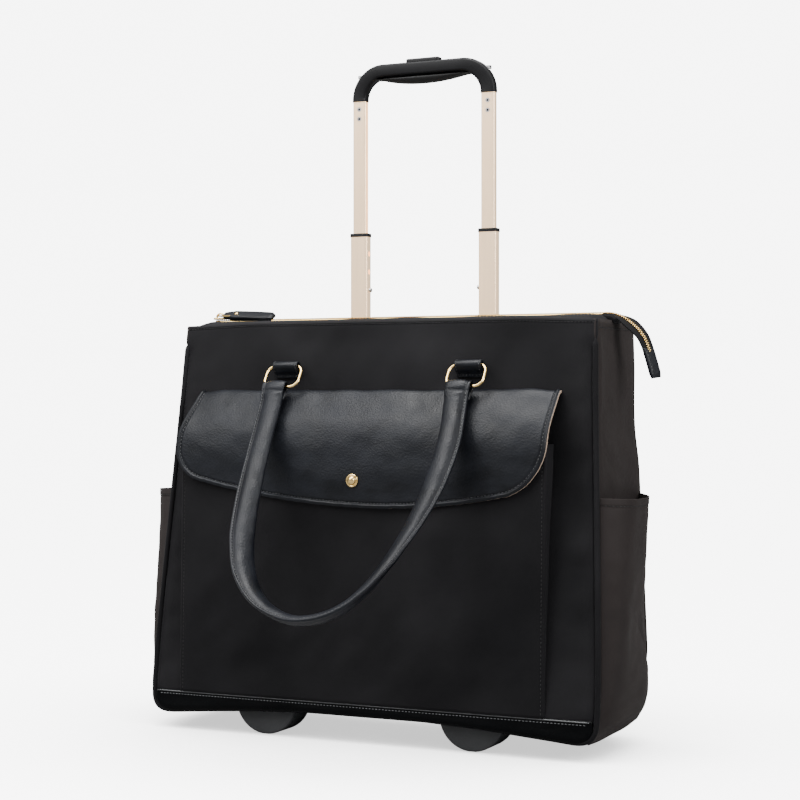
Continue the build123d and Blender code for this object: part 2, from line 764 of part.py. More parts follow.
def upper_tube():
    """The second sliding stage, grooved on its inner side so that it clears the stop pin."""
    groove = PIN_TRAVEL + 0.2
    bore_w, bore_d = UPPER_W - 2 * UPPER_WALL - groove, UPPER_D - 2 * UPPER_WALL
    front = Plane.XZ.offset(-POST_Y + UPPER_D / 2)
    with BuildPart() as grooved:
        with BuildSketch(Plane.XY.offset(UPPER_BOTTOM_Z)):
            with Locations((POST_X, POST_Y)):
                RectangleRounded(UPPER_W, UPPER_D, 1.8)
            with Locations((POST_X + groove / 2, POST_Y)):
                RectangleRounded(bore_w, bore_d, 0.8, mode=Mode.SUBTRACT)
            with Locations((POST_X - UPPER_W / 2, POST_Y)):
                Rectangle(2 * groove, 2 * PIN_R + 0.8, mode=Mode.SUBTRACT)
        extrude(amount=UPPER_TOP_Z - UPPER_BOTTOM_Z)
        for radius, depth in ((1.3, UPPER_WALL), (2.6, 0.6)):
            with BuildSketch(front):
                with Locations(*screw_places()):
                    Circle(radius)
            extrude(amount=-depth, mode=Mode.SUBTRACT)
    write_pair(grooved.part, "upper_tube")


def grip_screws():
    """Flush screws that hold the upper tubes to the grip's spigots."""
    front = Plane.XZ.offset(-POST_Y + UPPER_D / 2)
    with BuildPart() as screws:
        for radius, depth in ((2.5, 0.55), (1.2, 1.95)):
            with BuildSketch(front):
                with Locations(*screw_places()):
                    Circle(radius)
            extrude(amount=-depth)
        with BuildSketch(front):
            with Locations(*screw_places()):
                RegularPolygon(1, 6)
        extrude(amount=-0.9, mode=Mode.SUBTRACT)
    write_both(screws.part, "grip_screws")


def grip_shell():
    """The grip: two legs over the tube ends, a bar between them, and room for the release."""
    inner = GRIP_HALF - GRIP_LEG
    posts = [(POST_X, POST_Y), (-POST_X, POST_Y)]
    spigot_x = POST_X + (PIN_TRAVEL + 0.2) / 2
    spigots = [(spigot_x, POST_Y), (-spigot_x, POST_Y)]
    screws = screw_places()
    with BuildPart() as shell:
        with BuildSketch(Plane.XZ.offset(-POST_Y)) as outline:
            with BuildLine():
                Polyline(
                    (-GRIP_HALF, GRIP_BOTTOM_Z),
                    (-GRIP_HALF, GRIP_TOP_Z),
                    (GRIP_HALF, GRIP_TOP_Z),
                    (GRIP_HALF, GRIP_BOTTOM_Z),
                    (inner, GRIP_BOTTOM_Z),
                    (inner, GRIP_BAR_Z),
                    (-inner, GRIP_BAR_Z),
                    (-inner, GRIP_BOTTOM_Z),
                    close=True,
                )
            make_face()
            top = outline.vertices().group_by(Axis.Y)[-1]
            fillet(top, 22)
            under = outline.vertices().filter_by(lambda v: abs(v.Y - GRIP_BAR_Z) < 0.01)
            fillet(under, 12)
        extrude(amount=15, both=True)
        # seen from above, the grip swells between its legs
        with BuildSketch(Plane.XY.offset(GRIP_BOTTOM_Z)):
            with Locations((0, POST_Y)):
                Rectangle(2 * GRIP_HALF + 2, 11.4)
                with BuildLine():
                    Spline((-56, -5.7), (0, -13), (56, -5.7), tangents=[(1, 0), (1, 0)])
                    Spline((-56, 5.7), (0, 13), (56, 5.7), tangents=[(1, 0), (1, 0)])
                    Line((-56, -5.7), (-56, 5.7))
                    Line((56, -5.7), (56, 5.7))
                make_face()
        extrude(amount=60, mode=Mode.INTERSECT)
        # sockets for the tube ends, and spigots down inside the tubes
        with BuildSketch(Plane.XY.offset(GRIP_BOTTOM_Z)):
            with Locations(*posts):
                RectangleRounded(UPPER_W + 0.1, UPPER_D + 0.1, 1.7)
        extrude(amount=UPPER_TOP_Z - GRIP_BOTTOM_Z + 0.1, mode=Mode.SUBTRACT)
        with BuildSketch(Plane.XY.offset(GRIP_BOTTOM_Z - 24)):
            with Locations(*spigots):
                RectangleRounded(SPIGOT_W, SPIGOT_D, 0.6)
        extrude(amount=UPPER_TOP_Z - GRIP_BOTTOM_Z + 26)
        with BuildSketch(Plane.XZ.offset(-POST_Y)):
            with Locations(*screws, *[(-x, z) for x, z in screws]):
                Circle(1.25)
        extrude(amount=6, mode=Mode.SUBTRACT)
        # a hollow for the link, bores for its rods, and a well for the button
        with Locations((0, POST_Y, LINK_Z - BUTTON_TRAVEL / 2)):
            Box(2 * POST_X + 6, 5, LINK_T + BUTTON_TRAVEL + 0.6, mode=Mode.SUBTRACT)
        with BuildSketch(Plane.XY.offset(GRIP_BOTTOM_Z - 25)):
            with Locations(*posts):
                Circle(ROD_R + 0.25)
        extrude(amount=45, mode=Mode.SUBTRACT)
        with BuildSketch(Plane.XY.offset(GRIP_TOP_Z - WELL)):
            with Locations((0, POST_Y)):
                RectangleRounded(2 * BUTTON_HALF + 0.8, 10.8, 3.4)
        extrude(amount=10, mode=Mode.SUBTRACT)
        with Locations((0, POST_Y, GRIP_TOP_Z - 8)):
            Box(12, 4.8, 8, mode=Mode.SUBTRACT)
    write(shell.part, "grip_shell")


def grip_pad():
    """The soft rounded pad under the bar."""
    with BuildPart() as pad:
        with BuildSketch(Plane.XZ.offset(-POST_Y)):
            with BuildLine():
                ThreePointArc((-46, GRIP_BAR_Z - GAP), (0, 622), (46, GRIP_BAR_Z - GAP))
                Line((-46, GRIP_BAR_Z - GAP), (46, GRIP_BAR_Z - GAP))
            make_face()
        extrude(amount=15, both=True)
        with BuildSketch(Plane.XY.offset(GRIP_BOTTOM_Z)):
            with Locations((0, POST_Y)):
                Ellipse(58, 11.6)
        extrude(amount=30, mode=Mode.INTERSECT)
    write(pad.part, "grip_pad")


def release_button():
    """The button in the top of the grip, on a stem that presses the link."""
    cap = GRIP_TOP_Z - 1
    with BuildPart() as button:
        with BuildSketch(Plane.XY.offset(cap)):
            with Locations((0, POST_Y)):
                RectangleRounded(2 * BUTTON_HALF, 10, 3)
        extrude(amount=BUTTON_TOP_Z - cap)
        fillet(button.edges().group_by(Axis.Z)[-1], 1.2)
        with BuildSketch(Plane.XY.offset(LINK_Z + LINK_T / 2)):
            with Locations((0, POST_Y)):
                Rectangle(11, 4)
        extrude(amount=cap - LINK_Z - LINK_T / 2)
    write(button.part, "release_button")


def release_link():
    """The cross bar under the button, with a rod down each upper tube."""
    with BuildPart() as link:
        with Locations((0, POST_Y, LINK_Z)):
            Box(2 * POST_X + 4, 4, LINK_T)
        with BuildSketch(Plane.XY.offset(ROD_BOTTOM_Z)):
            with Locations((POST_X, POST_Y), (-POST_X, POST_Y)):
                Circle(ROD_R)
        extrude(amount=LINK_Z - ROD_BOTTOM_Z)
    write(link.part, "release_link")


def release_spring():
    """Two small coil springs, drawn as sleeves, that lift the button off the floor of its well."""
    with BuildPart() as spring:
        with BuildSketch(Plane.XY.offset(GRIP_TOP_Z - WELL)):
            with Locations((12.5, POST_Y)):
                Circle(2.4)
                Circle(1.8, mode=Mode.SUBTRACT)
        extrude(amount=WELL - 1)
    write_both(spring.part, "release_springs")


def handle_bezel():
    """The plate on top of the strip that the lower stage slides through."""
    top = BEZEL_Z + BEZEL_T
    with BuildPart() as bezel:
        with BuildSketch(Plane.XY.offset(BEZEL_Z)):
            with Locations((0, POST_Y)):
                RectangleRounded(BEZEL_W, BEZEL_D, 6)
            stage_holes()
        extrude(amount=BEZEL_T)
        rim = bezel.faces().sort_by(Axis.Z)[-1].outer_wire().edges()
        fillet(rim, 1.5)
        with Locations((-BEZEL_SCREW_X, POST_Y, top), (BEZEL_SCREW_X, POST_Y, top)):
            CounterSinkHole(1.6, 3.2)
    write(bezel.part, "handle_bezel")


def bezel_plate():
    """The backing plate under the strip, which the bezel's screws draw up."""
    with BuildPart() as plate:
        with BuildSketch(Plane.XY.offset(STRIP_Z - 4)):
            with Locations((0, POST_Y)):
                RectangleRounded(BEZEL_W - 4, BEZEL_D - 4, 5)
            stage_holes()
            with Locations((-BEZEL_SCREW_X, POST_Y), (BEZEL_SCREW_X, POST_Y)):
                Circle(1.55, mode=Mode.SUBTRACT)
        extrude(amount=4)
    write(plate.part, "bezel_plate")


def bezel_screws():
    """Countersunk screws through the bezel and the strip into the backing plate."""
    top = BEZEL_Z + BEZEL_T
    places = [(-BEZEL_SCREW_X, POST_Y), (BEZEL_SCREW_X, POST_Y)]
    with BuildPart() as screws:
        with BuildSketch(Plane.XY.offset(top - 11.5)):
            with Locations(*places):
                Circle(1.5)
        extrude(amount=11)
        with BuildSketch(Plane.XY.offset(top - 0.3)):
            with Locations(*places):
                Circle(2.7)
        extrude(amount=-1.2, taper=44)
    write(screws.part, "bezel_screws")


def tube_bracket():
    """The foot that ties the two fixed tubes together."""
    plug_w, plug_d = OUTER_W - 2 * OUTER_WALL - 0.4, OUTER_D - 2 * OUTER_WALL - 0.4
    with BuildPart() as bracket:
        with BuildSketch(Plane.XY.offset(OUTER_BOTTOM_Z - 5.2)):
            with Locations((0, POST_Y - 1)):
                RectangleRounded(2 * POST_X + 30, 15, 4)
        extrude(amount=5)
        with BuildSketch(Plane.XY.offset(OUTER_BOTTOM_Z - 1)):
            with Locations((POST_X, POST_Y), (-POST_X, POST_Y)):
                RectangleRounded(plug_w, plug_d, 1)
        extrude(amount=14)
    write(bracket.part, "tube_bracket")


# ---------------------------------------------------------------- running gear


def wheel_housings():
    """Moulded arches over the wheels, with bored cheeks that carry the axles."""
    near, width = WHEEL_X - HOUSING_HALF, 2 * HOUSING_HALF
    cheek = HOUSING_WALL
    with BuildPart() as housing:
        with BuildSketch(Plane.YZ.offset(near)):
            with Locations((WHEEL_Y, WHEEL_R)):
                Circle(WHEEL_R + 6)
                with Locations((0, -WHEEL_R)):
                    Rectangle(200, 40, mode=Mode.SUBTRACT)
        extrude(amount=width)
        with BuildSketch(Plane.YZ.offset(near + cheek)):
            with Locations((WHEEL_Y, WHEEL_R)):
                Circle(WHEEL_R + 3)
        extrude(amount=width - 2 * cheek, mode=Mode.SUBTRACT)
        with BuildSketch(Plane.YZ.offset(near - 1)):
            with Locations((WHEEL_Y, WHEEL_R)):
                Circle(BORE_R)
        extrude(amount=width + 2, mode=Mode.SUBTRACT)
    write_both(housing.part, "wheel_housings")


def axles():
    """Headed steel pins through both cheeks of each housing."""
    with BuildPart() as pin:
        with BuildSketch(Plane.YZ.offset(WHEEL_X - HOUSING_HALF - 1.6)):
            with Locations((WHEEL_Y, WHEEL_R)):
                Circle(AXLE_R)
        extrude(amount=2 * HOUSING_HALF + 3.2)
        for s in (-1, 1):
            with BuildSketch(Plane.YZ.offset(WHEEL_X + s * (HOUSING_HALF + 0.2))):
                with Locations((WHEEL_Y, WHEEL_R)):
                    Circle(4.2)
            extrude(amount=s * 1.4)
    write_both(pin.part, "axles")


def wheel_hub():
    """A moulded hub: a rim, a bore and a web pierced by five round windows."""
    half = WHEEL_W / 2
    with BuildPart() as hub:
        with BuildSketch(Plane.YZ.offset(WHEEL_X - half)):
            with Locations((WHEEL_Y, WHEEL_R)):
                Circle(HUB_R)
        extrude(amount=WHEEL_W)
        for s in (-1, 1):
            with BuildSketch(Plane.YZ.offset(WHEEL_X + s * half)):
                with Locations((WHEEL_Y, WHEEL_R)):
                    Circle(HUB_R - 3.5)
                    Circle(7, mode=Mode.SUBTRACT)
            extrude(amount=-s * 7, mode=Mode.SUBTRACT)
        with BuildSketch(Plane.YZ.offset(WHEEL_X - half)):
            with Locations((WHEEL_Y, WHEEL_R)):
                Circle(BORE_R)
                with PolarLocations(13.2, 5):
                    Circle(3.6)
        extrude(amount=WHEEL_W, mode=Mode.SUBTRACT)
    write_pair(hub.part, "wheel_hub")


def tyre():
    """A rubber tyre with rounded shoulders."""
    with BuildPart() as ring:
        with BuildSketch(Plane.YZ.offset(WHEEL_X - WHEEL_W / 2)):
            with Locations((WHEEL_Y, WHEEL_R)):
                Circle(WHEEL_R)
                Circle(HUB_R, mode=Mode.SUBTRACT)
        extrude(amount=WHEEL_W)
        shoulders = ring.edges().filter_by(GeomType.CIRCLE).filter_by(lambda e: e.radius > HUB_R + 1)
        fillet(shoulders, 4)
    write_pair(ring.part, "tyre")


def foot_screw_places():
    """X and Y of the right foot's two screws."""
    return [(FOOT_X + s * FOOT_SCREW_X, -FOOT_FRONT + FOOT_T / 2) for s in (-1, 1)]


def foot_screw_holes():
    """Cuts a sketch for the screws of both feet."""
    places = foot_screw_places()
    with Locations(*places, *[(-x, y) for x, y in places]):
        Circle(1.6, mode=Mode.SUBTRACT)


def front_feet():
    """Half-round feet, each with a narrow flat to stand on."""
    drop = FOOT_R - sqrt(FOOT_R**2 - (FOOT_FLAT / 2) ** 2)
    top = BASE_Z - 2 * GAP - TRIM_T
    with BuildPart() as foot:
        with BuildSketch(Plane.XZ.offset(FOOT_FRONT - FOOT_T)):
            with Locations((FOOT_X, FOOT_R - drop)):
                Circle(FOOT_R)
            with Locations((FOOT_X, top / 2)):
                Rectangle(3 * FOOT_R, top, mode=Mode.INTERSECT)
        extrude(amount=FOOT_T)
        with BuildSketch(Plane.XY.offset(top)):
            with Locations(*foot_screw_places()):
                Circle(1.6)
        extrude(amount=-13, mode=Mode.SUBTRACT)
    write_both(foot.part, "front_feet")


def foot_screws():
    """Screws down through the base board and the bottom into each foot."""
    head_z = BASE_Z + WALL + GAP + 2
    with BuildPart() as screws:
        for radius, length in ((3.4, 1.6), (1.5, -20)):
            with BuildSketch(Plane.XY.offset(head_z + 0.1)):
                with Locations(*foot_screw_places()):
                    Circle(radius)
            extrude(amount=length)
    write_both(screws.part, "foot_screws")


os.makedirs("parts", exist_ok=True)
gusset()
front_panel()
bottom_panel()
back_panel()
top_strip()
base_board()
front_base_trim()
front_piping()
back_piping()
laptop_divider()
back_board()
pocket_panel()
pocket_gusset()
flap_shoulder()
flap()
flap_stud()
snap_socket()
side_pocket()
zip_leaf(LEAF_FRONT_Y, 1, "zip_leaf_front")
zip_leaf(LEAF_REAR_Y, -1, "zip_leaf_rear")
zip_teeth(1, "zip_teeth_front")
zip_teeth(-1, "zip_teeth_rear")
zip_slider()
pull_ring()
zip_pull()
zip_tail()
tail_tab()
front_ring_panel = front_y(RING_BAR_Z)
front_handle = handle_plane(front_ring_panel, FRONT_LEAN, -1)
rear_handle = handle_plane(0, REAR_LEAN, 1)
handle_rings(front_handle, "front_rings")
handle_rings(rear_handle, "rear_rings")
write_both(ring_tab(front_ring_panel, -1) + ring_tab(0, 1), "ring_tabs")
strap(front_handle, "front_strap")
strap(rear_handle, "rear_strap")
outer_tube()
lower_tube()
collars()
stop_pin()
upper_tube()
grip_screws()
grip_shell()
grip_pad()
release_button()
release_link()
release_spring()
handle_bezel()
bezel_plate()
bezel_screws()
tube_bracket()
wheel_housings()
axles()
wheel_hub()
tyre()
front_feet()
foot_screws()
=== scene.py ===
"""Looks for a soft wheeled laptop tote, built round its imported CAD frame.

Shapes are worked out in millimetres from the middle of the back panel (X across, Y 0 on the back
and negative to the front, Z up from the floor), and point() turns them into the frame's metres.
"""

import json
from math import cos, hypot, pi, radians, sin, sqrt, tan

import bmesh
import bpy
import numpy as np
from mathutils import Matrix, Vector, noise
from mathutils.bvhtree import BVHTree

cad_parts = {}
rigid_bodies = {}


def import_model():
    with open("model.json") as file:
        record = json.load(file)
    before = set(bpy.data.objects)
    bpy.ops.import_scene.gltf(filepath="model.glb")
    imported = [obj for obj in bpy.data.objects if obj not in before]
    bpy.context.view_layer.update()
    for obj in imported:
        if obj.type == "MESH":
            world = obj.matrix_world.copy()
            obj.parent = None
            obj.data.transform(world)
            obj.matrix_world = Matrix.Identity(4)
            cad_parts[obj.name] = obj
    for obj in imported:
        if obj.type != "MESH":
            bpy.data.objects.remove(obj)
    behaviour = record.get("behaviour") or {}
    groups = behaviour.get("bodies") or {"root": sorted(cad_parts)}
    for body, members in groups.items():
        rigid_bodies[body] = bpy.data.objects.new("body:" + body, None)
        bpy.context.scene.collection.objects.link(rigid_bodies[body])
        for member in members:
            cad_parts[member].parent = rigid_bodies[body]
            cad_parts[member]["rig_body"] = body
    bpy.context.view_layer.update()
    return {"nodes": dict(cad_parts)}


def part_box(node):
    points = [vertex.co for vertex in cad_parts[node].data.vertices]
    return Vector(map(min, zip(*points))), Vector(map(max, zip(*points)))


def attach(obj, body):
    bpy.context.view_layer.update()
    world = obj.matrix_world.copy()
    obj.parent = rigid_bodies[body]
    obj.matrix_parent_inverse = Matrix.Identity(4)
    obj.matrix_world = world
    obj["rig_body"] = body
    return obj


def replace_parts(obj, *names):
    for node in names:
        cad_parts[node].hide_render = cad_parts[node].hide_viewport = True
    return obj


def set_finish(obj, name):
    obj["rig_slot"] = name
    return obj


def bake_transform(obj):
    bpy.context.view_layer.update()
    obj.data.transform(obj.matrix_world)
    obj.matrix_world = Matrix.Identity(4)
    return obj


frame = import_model()
nodes = frame["nodes"]

ORIGIN_Y = 112.0

# Bag body, in millimetres
TOP_Z, BASE_Z = 387.0, 28.0
TOP_DEPTH, BOTTOM_DEPTH = 110.0, 151.0
TRIM_TOP_Z = 37.0
WELT_R = 2.6  # nylon-covered cord in the front seams
WELT_TOP_Z = 371.0
HEEL_R = 55.0
LEAN = (BOTTOM_DEPTH - TOP_DEPTH) / (TOP_Z - BASE_Z)

POCKET_X, POCKET_HALF, POCKET_TOP_Z = -8.0, 186.0, 276.0
POCKET_STITCH = 3.6  # from the pocket's side edge to its stitching
STUD_Z = 241
RING_X, RING_BAR_Z, RING_BAR_OUT = 94.0, 347.0, 7.5
RING_FALL = 24.0
POST_X, POST_Y = 69.0, -13.0
ZIP_Y, ZIP_HALF = -60.0, 207.0
SLIDER_X = -203.0
WHEEL_X, WHEEL_Y, WHEEL_R = 150.0, -27.0, 32.0
SEAM_ROOM, HEM_ROOM = 5.2, 0.8  # that a side seam takes beside its welt, and above it


# ---------------------------------------------------------------- small helpers


def point(x, y, z):
    """Millimetres from the back panel, as a point of the frame in metres."""
    return Vector((x / 1000, (y + ORIGIN_Y) / 1000, z / 1000))


def ramp(a, b, x):
    """0 before a, 1 after b, smooth between."""
    t = min(max((x - a) / (b - a), 0.0), 1.0)
    return t * t * (3 - 2 * t)


def curve_value(table, x):
    """A smooth value at x from a short table of (x, value), with x rising."""
    if x <= table[0][0]:
        return table[0][1]
    for (x0, v0), (x1, v1) in zip(table, table[1:]):
        if x <= x1:
            return v0 + (v1 - v0) * ramp(x0, x1, x)
    return table[-1][1]


def linear_value(table, x):
    """A straight-line value at x from a short table of (x, value), with x rising."""
    if x <= table[0][0]:
        return table[0][1]
    for (x0, v0), (x1, v1) in zip(table, table[1:]):
        if x <= x1:
            return v0 + (v1 - v0) * (x - x0) / (x1 - x0)
    return table[-1][1]


def ripple(x, y, z, size, seed):
    """Smooth noise from -1 to 1, with bumps about size across."""
    return noise.noise(Vector((x / size + seed * 7.31, y / size - seed * 3.17, z / size + seed * 1.7)))


def spaced(n, a=0.0, b=1.0):
    return [a + (b - a) * i / n for i in range(n + 1)]


def marks_along(points):
    """How far each point of a line is from its start, along it."""
    marks = [0.0]
    for a, b in zip(points, points[1:]):
        marks.append(marks[-1] + (b - a).length)
    return marks


def circle(count):
    """Cosine and sine of each of count equal steps round a circle."""
    return [(cos(2 * pi * j / count), sin(2 * pi * j / count)) for j in range(count)]


def smooth_path(points, steps):
    """A Catmull-Rom line through the points, with steps points for each span."""
    pts = [Vector(p) for p in points]
    out = []
    for i, (p1, p2) in enumerate(zip(pts, pts[1:])):
        p0 = pts[i - 1] if i > 0 else p1 + (p1 - p2)
        p3 = pts[i + 2] if i + 2 < len(pts) else p2 + (p2 - p1)
        for k in range(steps):
            t = k / steps
            out.append(
                0.5
                * (
                    2 * p1
                    + (p2 - p0) * t
                    + (2 * p0 - 5 * p1 + 4 * p2 - p3) * t * t
                    + (3 * p1 - p0 - 3 * p2 + p3) * t**3
                )
            )
    out.append(pts[-1])
    return out


def resampled(points, count=None, pitch=None):
    """The line cut again into equal steps."""
    pts = [Vector(p) for p in points]
    marks = marks_along(pts)
    if pitch:
        count = max(1, int(round(marks[-1] / pitch)))
    out, k = [], 0
    for i in range(count + 1):
        s = marks[-1] * i / count
        while k < len(pts) - 2 and marks[k + 1] < s:
            k += 1
        span = marks[k + 1] - marks[k]
        out.append(pts[k].lerp(pts[k + 1], (s - marks[k]) / span if span else 0))
    return out


def rounded_corners(points, radii, steps=8):
    """A polyline with its inner corners rounded, each by its own length of curve."""
    pts = [Vector(p) for p in points]
    out = [pts[0]]
    for i in range(1, len(pts) - 1):
        a, c, b = pts[i - 1], pts[i], pts[i + 1]
        cut_a = min(radii[i - 1], (c - a).length * 0.49)
        cut_b = min(radii[i - 1], (b - c).length * 0.49)
        p, q = c + (a - c).normalized() * cut_a, c + (b - c).normalized() * cut_b
        for k in range(steps + 1):
            t = k / steps
            out.append(p * (1 - t) ** 2 + c * 2 * t * (1 - t) + q * t * t)
    out.append(pts[-1])
    return out


def placed(name, data):
    """A new object in the scene."""
    obj = bpy.data.objects.new(name, data)
    bpy.context.scene.collection.objects.link(obj)
    return obj


def edited(obj, change):
    """Lets change(bm) work on an object's mesh."""
    bm = bmesh.new()
    bm.from_mesh(obj.data)
    change(bm)
    bm.to_mesh(obj.data)
    bm.free()


def finish_mesh(name, verts, faces, material, body, uvs=None, slot=None):
    """Makes an object of millimetre points and rides it on a body. uvs go by face corner."""
    mesh = bpy.data.meshes.new(name)
    mesh.from_pydata([point(*v) for v in verts], [], faces)
    if uvs:
        layer = mesh.uv_layers.new(name="UVMap")
        layer.data.foreach_set("uv", [c for uv in uvs for c in uv])
    mesh.validate()
    for poly in mesh.polygons:
        poly.use_smooth = True
    obj = placed(name, mesh)
    for m in material if isinstance(material, (list, tuple)) else [material]:
        mesh.materials.append(m)
    if body:
        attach(obj, body)
    if slot:
        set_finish(obj, slot)
    return obj


def applied(obj):
    """Bakes an object's modifiers into its mesh."""
    bpy.context.view_layer.update()
    graph = bpy.context.evaluated_depsgraph_get()
    mesh = bpy.data.meshes.new_from_object(obj.evaluated_get(graph))
    obj.modifiers.clear()
    old, obj.data = obj.data, mesh
    bpy.data.meshes.remove(old)
    for poly in obj.data.polygons:
        poly.use_smooth = True
    return obj


def shell(obj, thickness, inner=0, rim=0):
    """Gives a surface its thickness, in millimetres, with other material slots inside and on its rim."""
    mod = obj.modifiers.new("thickness", "SOLIDIFY")
    mod.thickness = thickness / 1000
    mod.offset = -1.0
    mod.material_offset = inner
    mod.material_offset_rim = rim
    mod.use_even_offset = False
    return applied(obj)


def sheet_mesh(name, rows, material, body, outward=None, close=False, slot=None, skip=None):
    """A grid of faces over rows of points, with UVs in metres along the cloth.

    outward is a rough direction that the surface should face. skip(i, j) leaves a face out.
    """
    n, m = len(rows), len(rows[0])
    verts = [tuple(p) for row in rows for p in row]
    along = [marks_along([Vector(p) for p in row]) for row in rows]
    mid = m // 2
    down = marks_along([Vector(row[mid]) for row in rows])
    faces, uvs = [], []
    flip = False
    if outward is not None:
        total = Vector((0, 0, 0))
        for i in range(0, n - 1, max(1, n // 12)):
            for j in range(0, m - 1, max(1, m // 12)):
                a, b, c = (Vector(rows[p][q]) for p, q in ((i, j), (i, j + 1), (i + 1, j)))
                total += (b - a).cross(c - a)
        flip = total.dot(Vector(outward)) < 0
    for i in range(n - 1):
        for j in range(m if close else m - 1):
            if skip and skip(i, j):
                continue
            k = (j + 1) % m
            corners = [(i, j), (i, k), (i + 1, k), (i + 1, j)]
            if flip:
                corners.reverse()
            faces.append([a * m + b for a, b in corners])
            for a, b in corners:
                uvs.append(((along[a][b] - along[a][mid]) / 1000, -down[a] / 1000))
    obj = finish_mesh(name, verts, faces, material, body, uvs, slot=slot)
    if skip:
        drop_loose(obj)
    return obj


def drop_loose(obj):
    edited(
        obj,
        lambda bm: bmesh.ops.delete(bm, geom=[v for v in bm.verts if not v.link_faces], context="VERTS")
    )


def frames_along(path, up=None, closed=False):
    """Tangent, normal and side of each point of a line.

    up fixes the normal; without it the frame is carried along.
    """
    pts = [Vector(p) for p in path]
    n = len(pts)
    out, carried = [], None
    for i, p in enumerate(pts):
        a = pts[i - 1] if (i > 0 or closed) else p
        b = pts[(i + 1) % n] if (i + 1 < n or closed) else p
        t = (b - a).normalized()
        if up is not None:
            want = Vector(up[i] if isinstance(up, list) else up)
        elif carried is None:
            want = Vector((0, 0, 1)) if abs(t.z) < 0.9 else Vector((0, 1, 0))
        else:
            want = carried
        normal = (want - t * want.dot(t)).normalized()
        carried = normal
        out.append((t, normal, t.cross(normal)))
    return out


def swept(name, path, section, material, body, up=None, closed=False, slot=None, scale=None):
    """Sweeps a closed section of (side, normal) offsets along a line. scale(i) gives each ring's size."""
    pts = [Vector(p) for p in path]
    frames = frames_along(pts, up, closed)
    k = len(section)
    around = [0.0]
    for a, b in zip(section, section[1:] + section[:1]):
        around.append(around[-1] + hypot(b[0] - a[0], b[1] - a[1]))
    run = marks_along(pts + pts[:1])
    verts, faces, uvs = [], [], []
    for i, p in enumerate(pts):
        _, normal, side = frames[i]
        s = scale(i) if scale else 1.0
        sx, sy = s if isinstance(s, tuple) else (s, s)
        verts += [p + side * a * sx + normal * b * sy for a, b in section]
    rings = len(pts)
    for i in range(rings if closed else rings - 1):
        for j in range(k):
            corners = [(i, j), (i, j + 1), (i + 1, j + 1), (i + 1, j)]
            faces.append([(a % rings) * k + b % k for a, b in corners])
            uvs += [(around[b] / 1000, run[a] / 1000) for a, b in corners]
    if not closed:
        for i, order in ((0, 1), (rings - 1, -1)):
            ring = [i * k + j for j in range(k)][::order]
            middle = len(verts)
            verts.append(sum((Vector(verts[v]) for v in ring), Vector()) / k)
            for a, b in zip(ring, ring[1:] + ring[:1]):
                faces.append([middle, b, a])
                uvs += [(0, 0), (0.001, 0), (0, 0.001)]
    obj = finish_mesh(name, verts, faces, material, body, uvs, slot=slot)
    outward_faces(obj)
    return obj


def outward_faces(obj):
    edited(obj, lambda bm: bmesh.ops.recalc_face_normals(bm, faces=bm.faces))


def ring_section(radius, sides):
    return [(radius * c, radius * s) for c, s in circle(sides)]


def rounded_section(width, depth, corner, steps=4):
    """A rounded rectangle as a closed section."""
    out = []
    for sx, sy, start in ((1, 1, 0), (-1, 1, 90), (-1, -1, 180), (1, -1, 270)):
        cx, cy = sx * (width / 2 - corner), sy * (depth / 2 - corner)
        for k in range(steps + 1):
            a = radians(start + 90 * k / steps)
            out.append((cx + corner * cos(a), cy + corner * sin(a)))
    return out


def joined(name, objs):
    """Joins objects that ride on one body into one."""
    first = objs[0]
    bm = bmesh.new()
    mats = []
    for o in objs:
        offset = []
        for m in o.data.materials:
            if m not in mats:
                mats.append(m)
            offset.append(mats.index(m))
        part = o.data.copy()
        for p in part.polygons:
            p.material_index = offset[p.material_index] if offset else 0
        bm.from_mesh(part)
        bpy.data.meshes.remove(part)
    body, slot = first.get("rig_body"), first.get("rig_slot")
    mesh = bpy.data.meshes.new(name)
    bm.to_mesh(mesh)
    bm.free()
    for m in mats:
        mesh.materials.append(m)
    for o in objs:
        bpy.data.objects.remove(o)
    obj = placed(name, mesh)
    if body:
        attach(obj, body)
    if slot:
        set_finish(obj, slot)
    return obj


THREAD_LIFT = 0.1  # how far a thread's middle stands above the surface


def stitches(name, line, normals, material, body, pitch=3.3, length=2.3, width=0.75, slot=None):
    """A row of short threads along a line, each lying in the surface whose normals are given."""
    pts = [Vector(p) for p in line]
    ups = normals if isinstance(normals, list) else [Vector(normals)] * len(pts)
    marks = marks_along(pts)
    count = max(1, int(marks[-1] / pitch))
    verts, faces, k = [], [], 0
    profile = [(-0.5, 0.0), (-0.42, 0.75), (-0.2, 1.0), (0.2, 1.0), (0.42, 0.75), (0.5, 0.0)]
    sides = 6
    for i in range(count):
        s = marks[-1] * (i + 0.5) / count
        while k < len(pts) - 2 and marks[k + 1] < s:
            k += 1
        f = (s - marks[k]) / max(marks[k + 1] - marks[k], 1e-9)
        centre = pts[k].lerp(pts[k + 1], f)
        t = (pts[k + 1] - pts[k]).normalized()
        n = Vector(ups[k]).lerp(Vector(ups[min(k + 1, len(ups) - 1)]), f)
        n = (n - t * n.dot(t)).normalized()
        b = t.cross(n)
        base = len(verts)
        for u, r in profile:
            sink = -0.25 * (2 * u) ** 2
            for j in range(sides):
                a = 2 * pi * j / sides
                verts.append(
                    centre
                    + t * (u * length)
                    + n * (THREAD_LIFT + sink + sin(a) * r * width * 0.42)
                    + b * (cos(a) * r * width / 2)
                )
        for q in range(len(profile) - 1):
            for j in range(sides):
                a0, a1 = base + q * sides + j, base + q * sides + (j + 1) % sides
                faces.append([a0, a1, a1 + sides, a0 + sides])
    return finish_mesh(name, verts, faces, material, body, slot=slot)


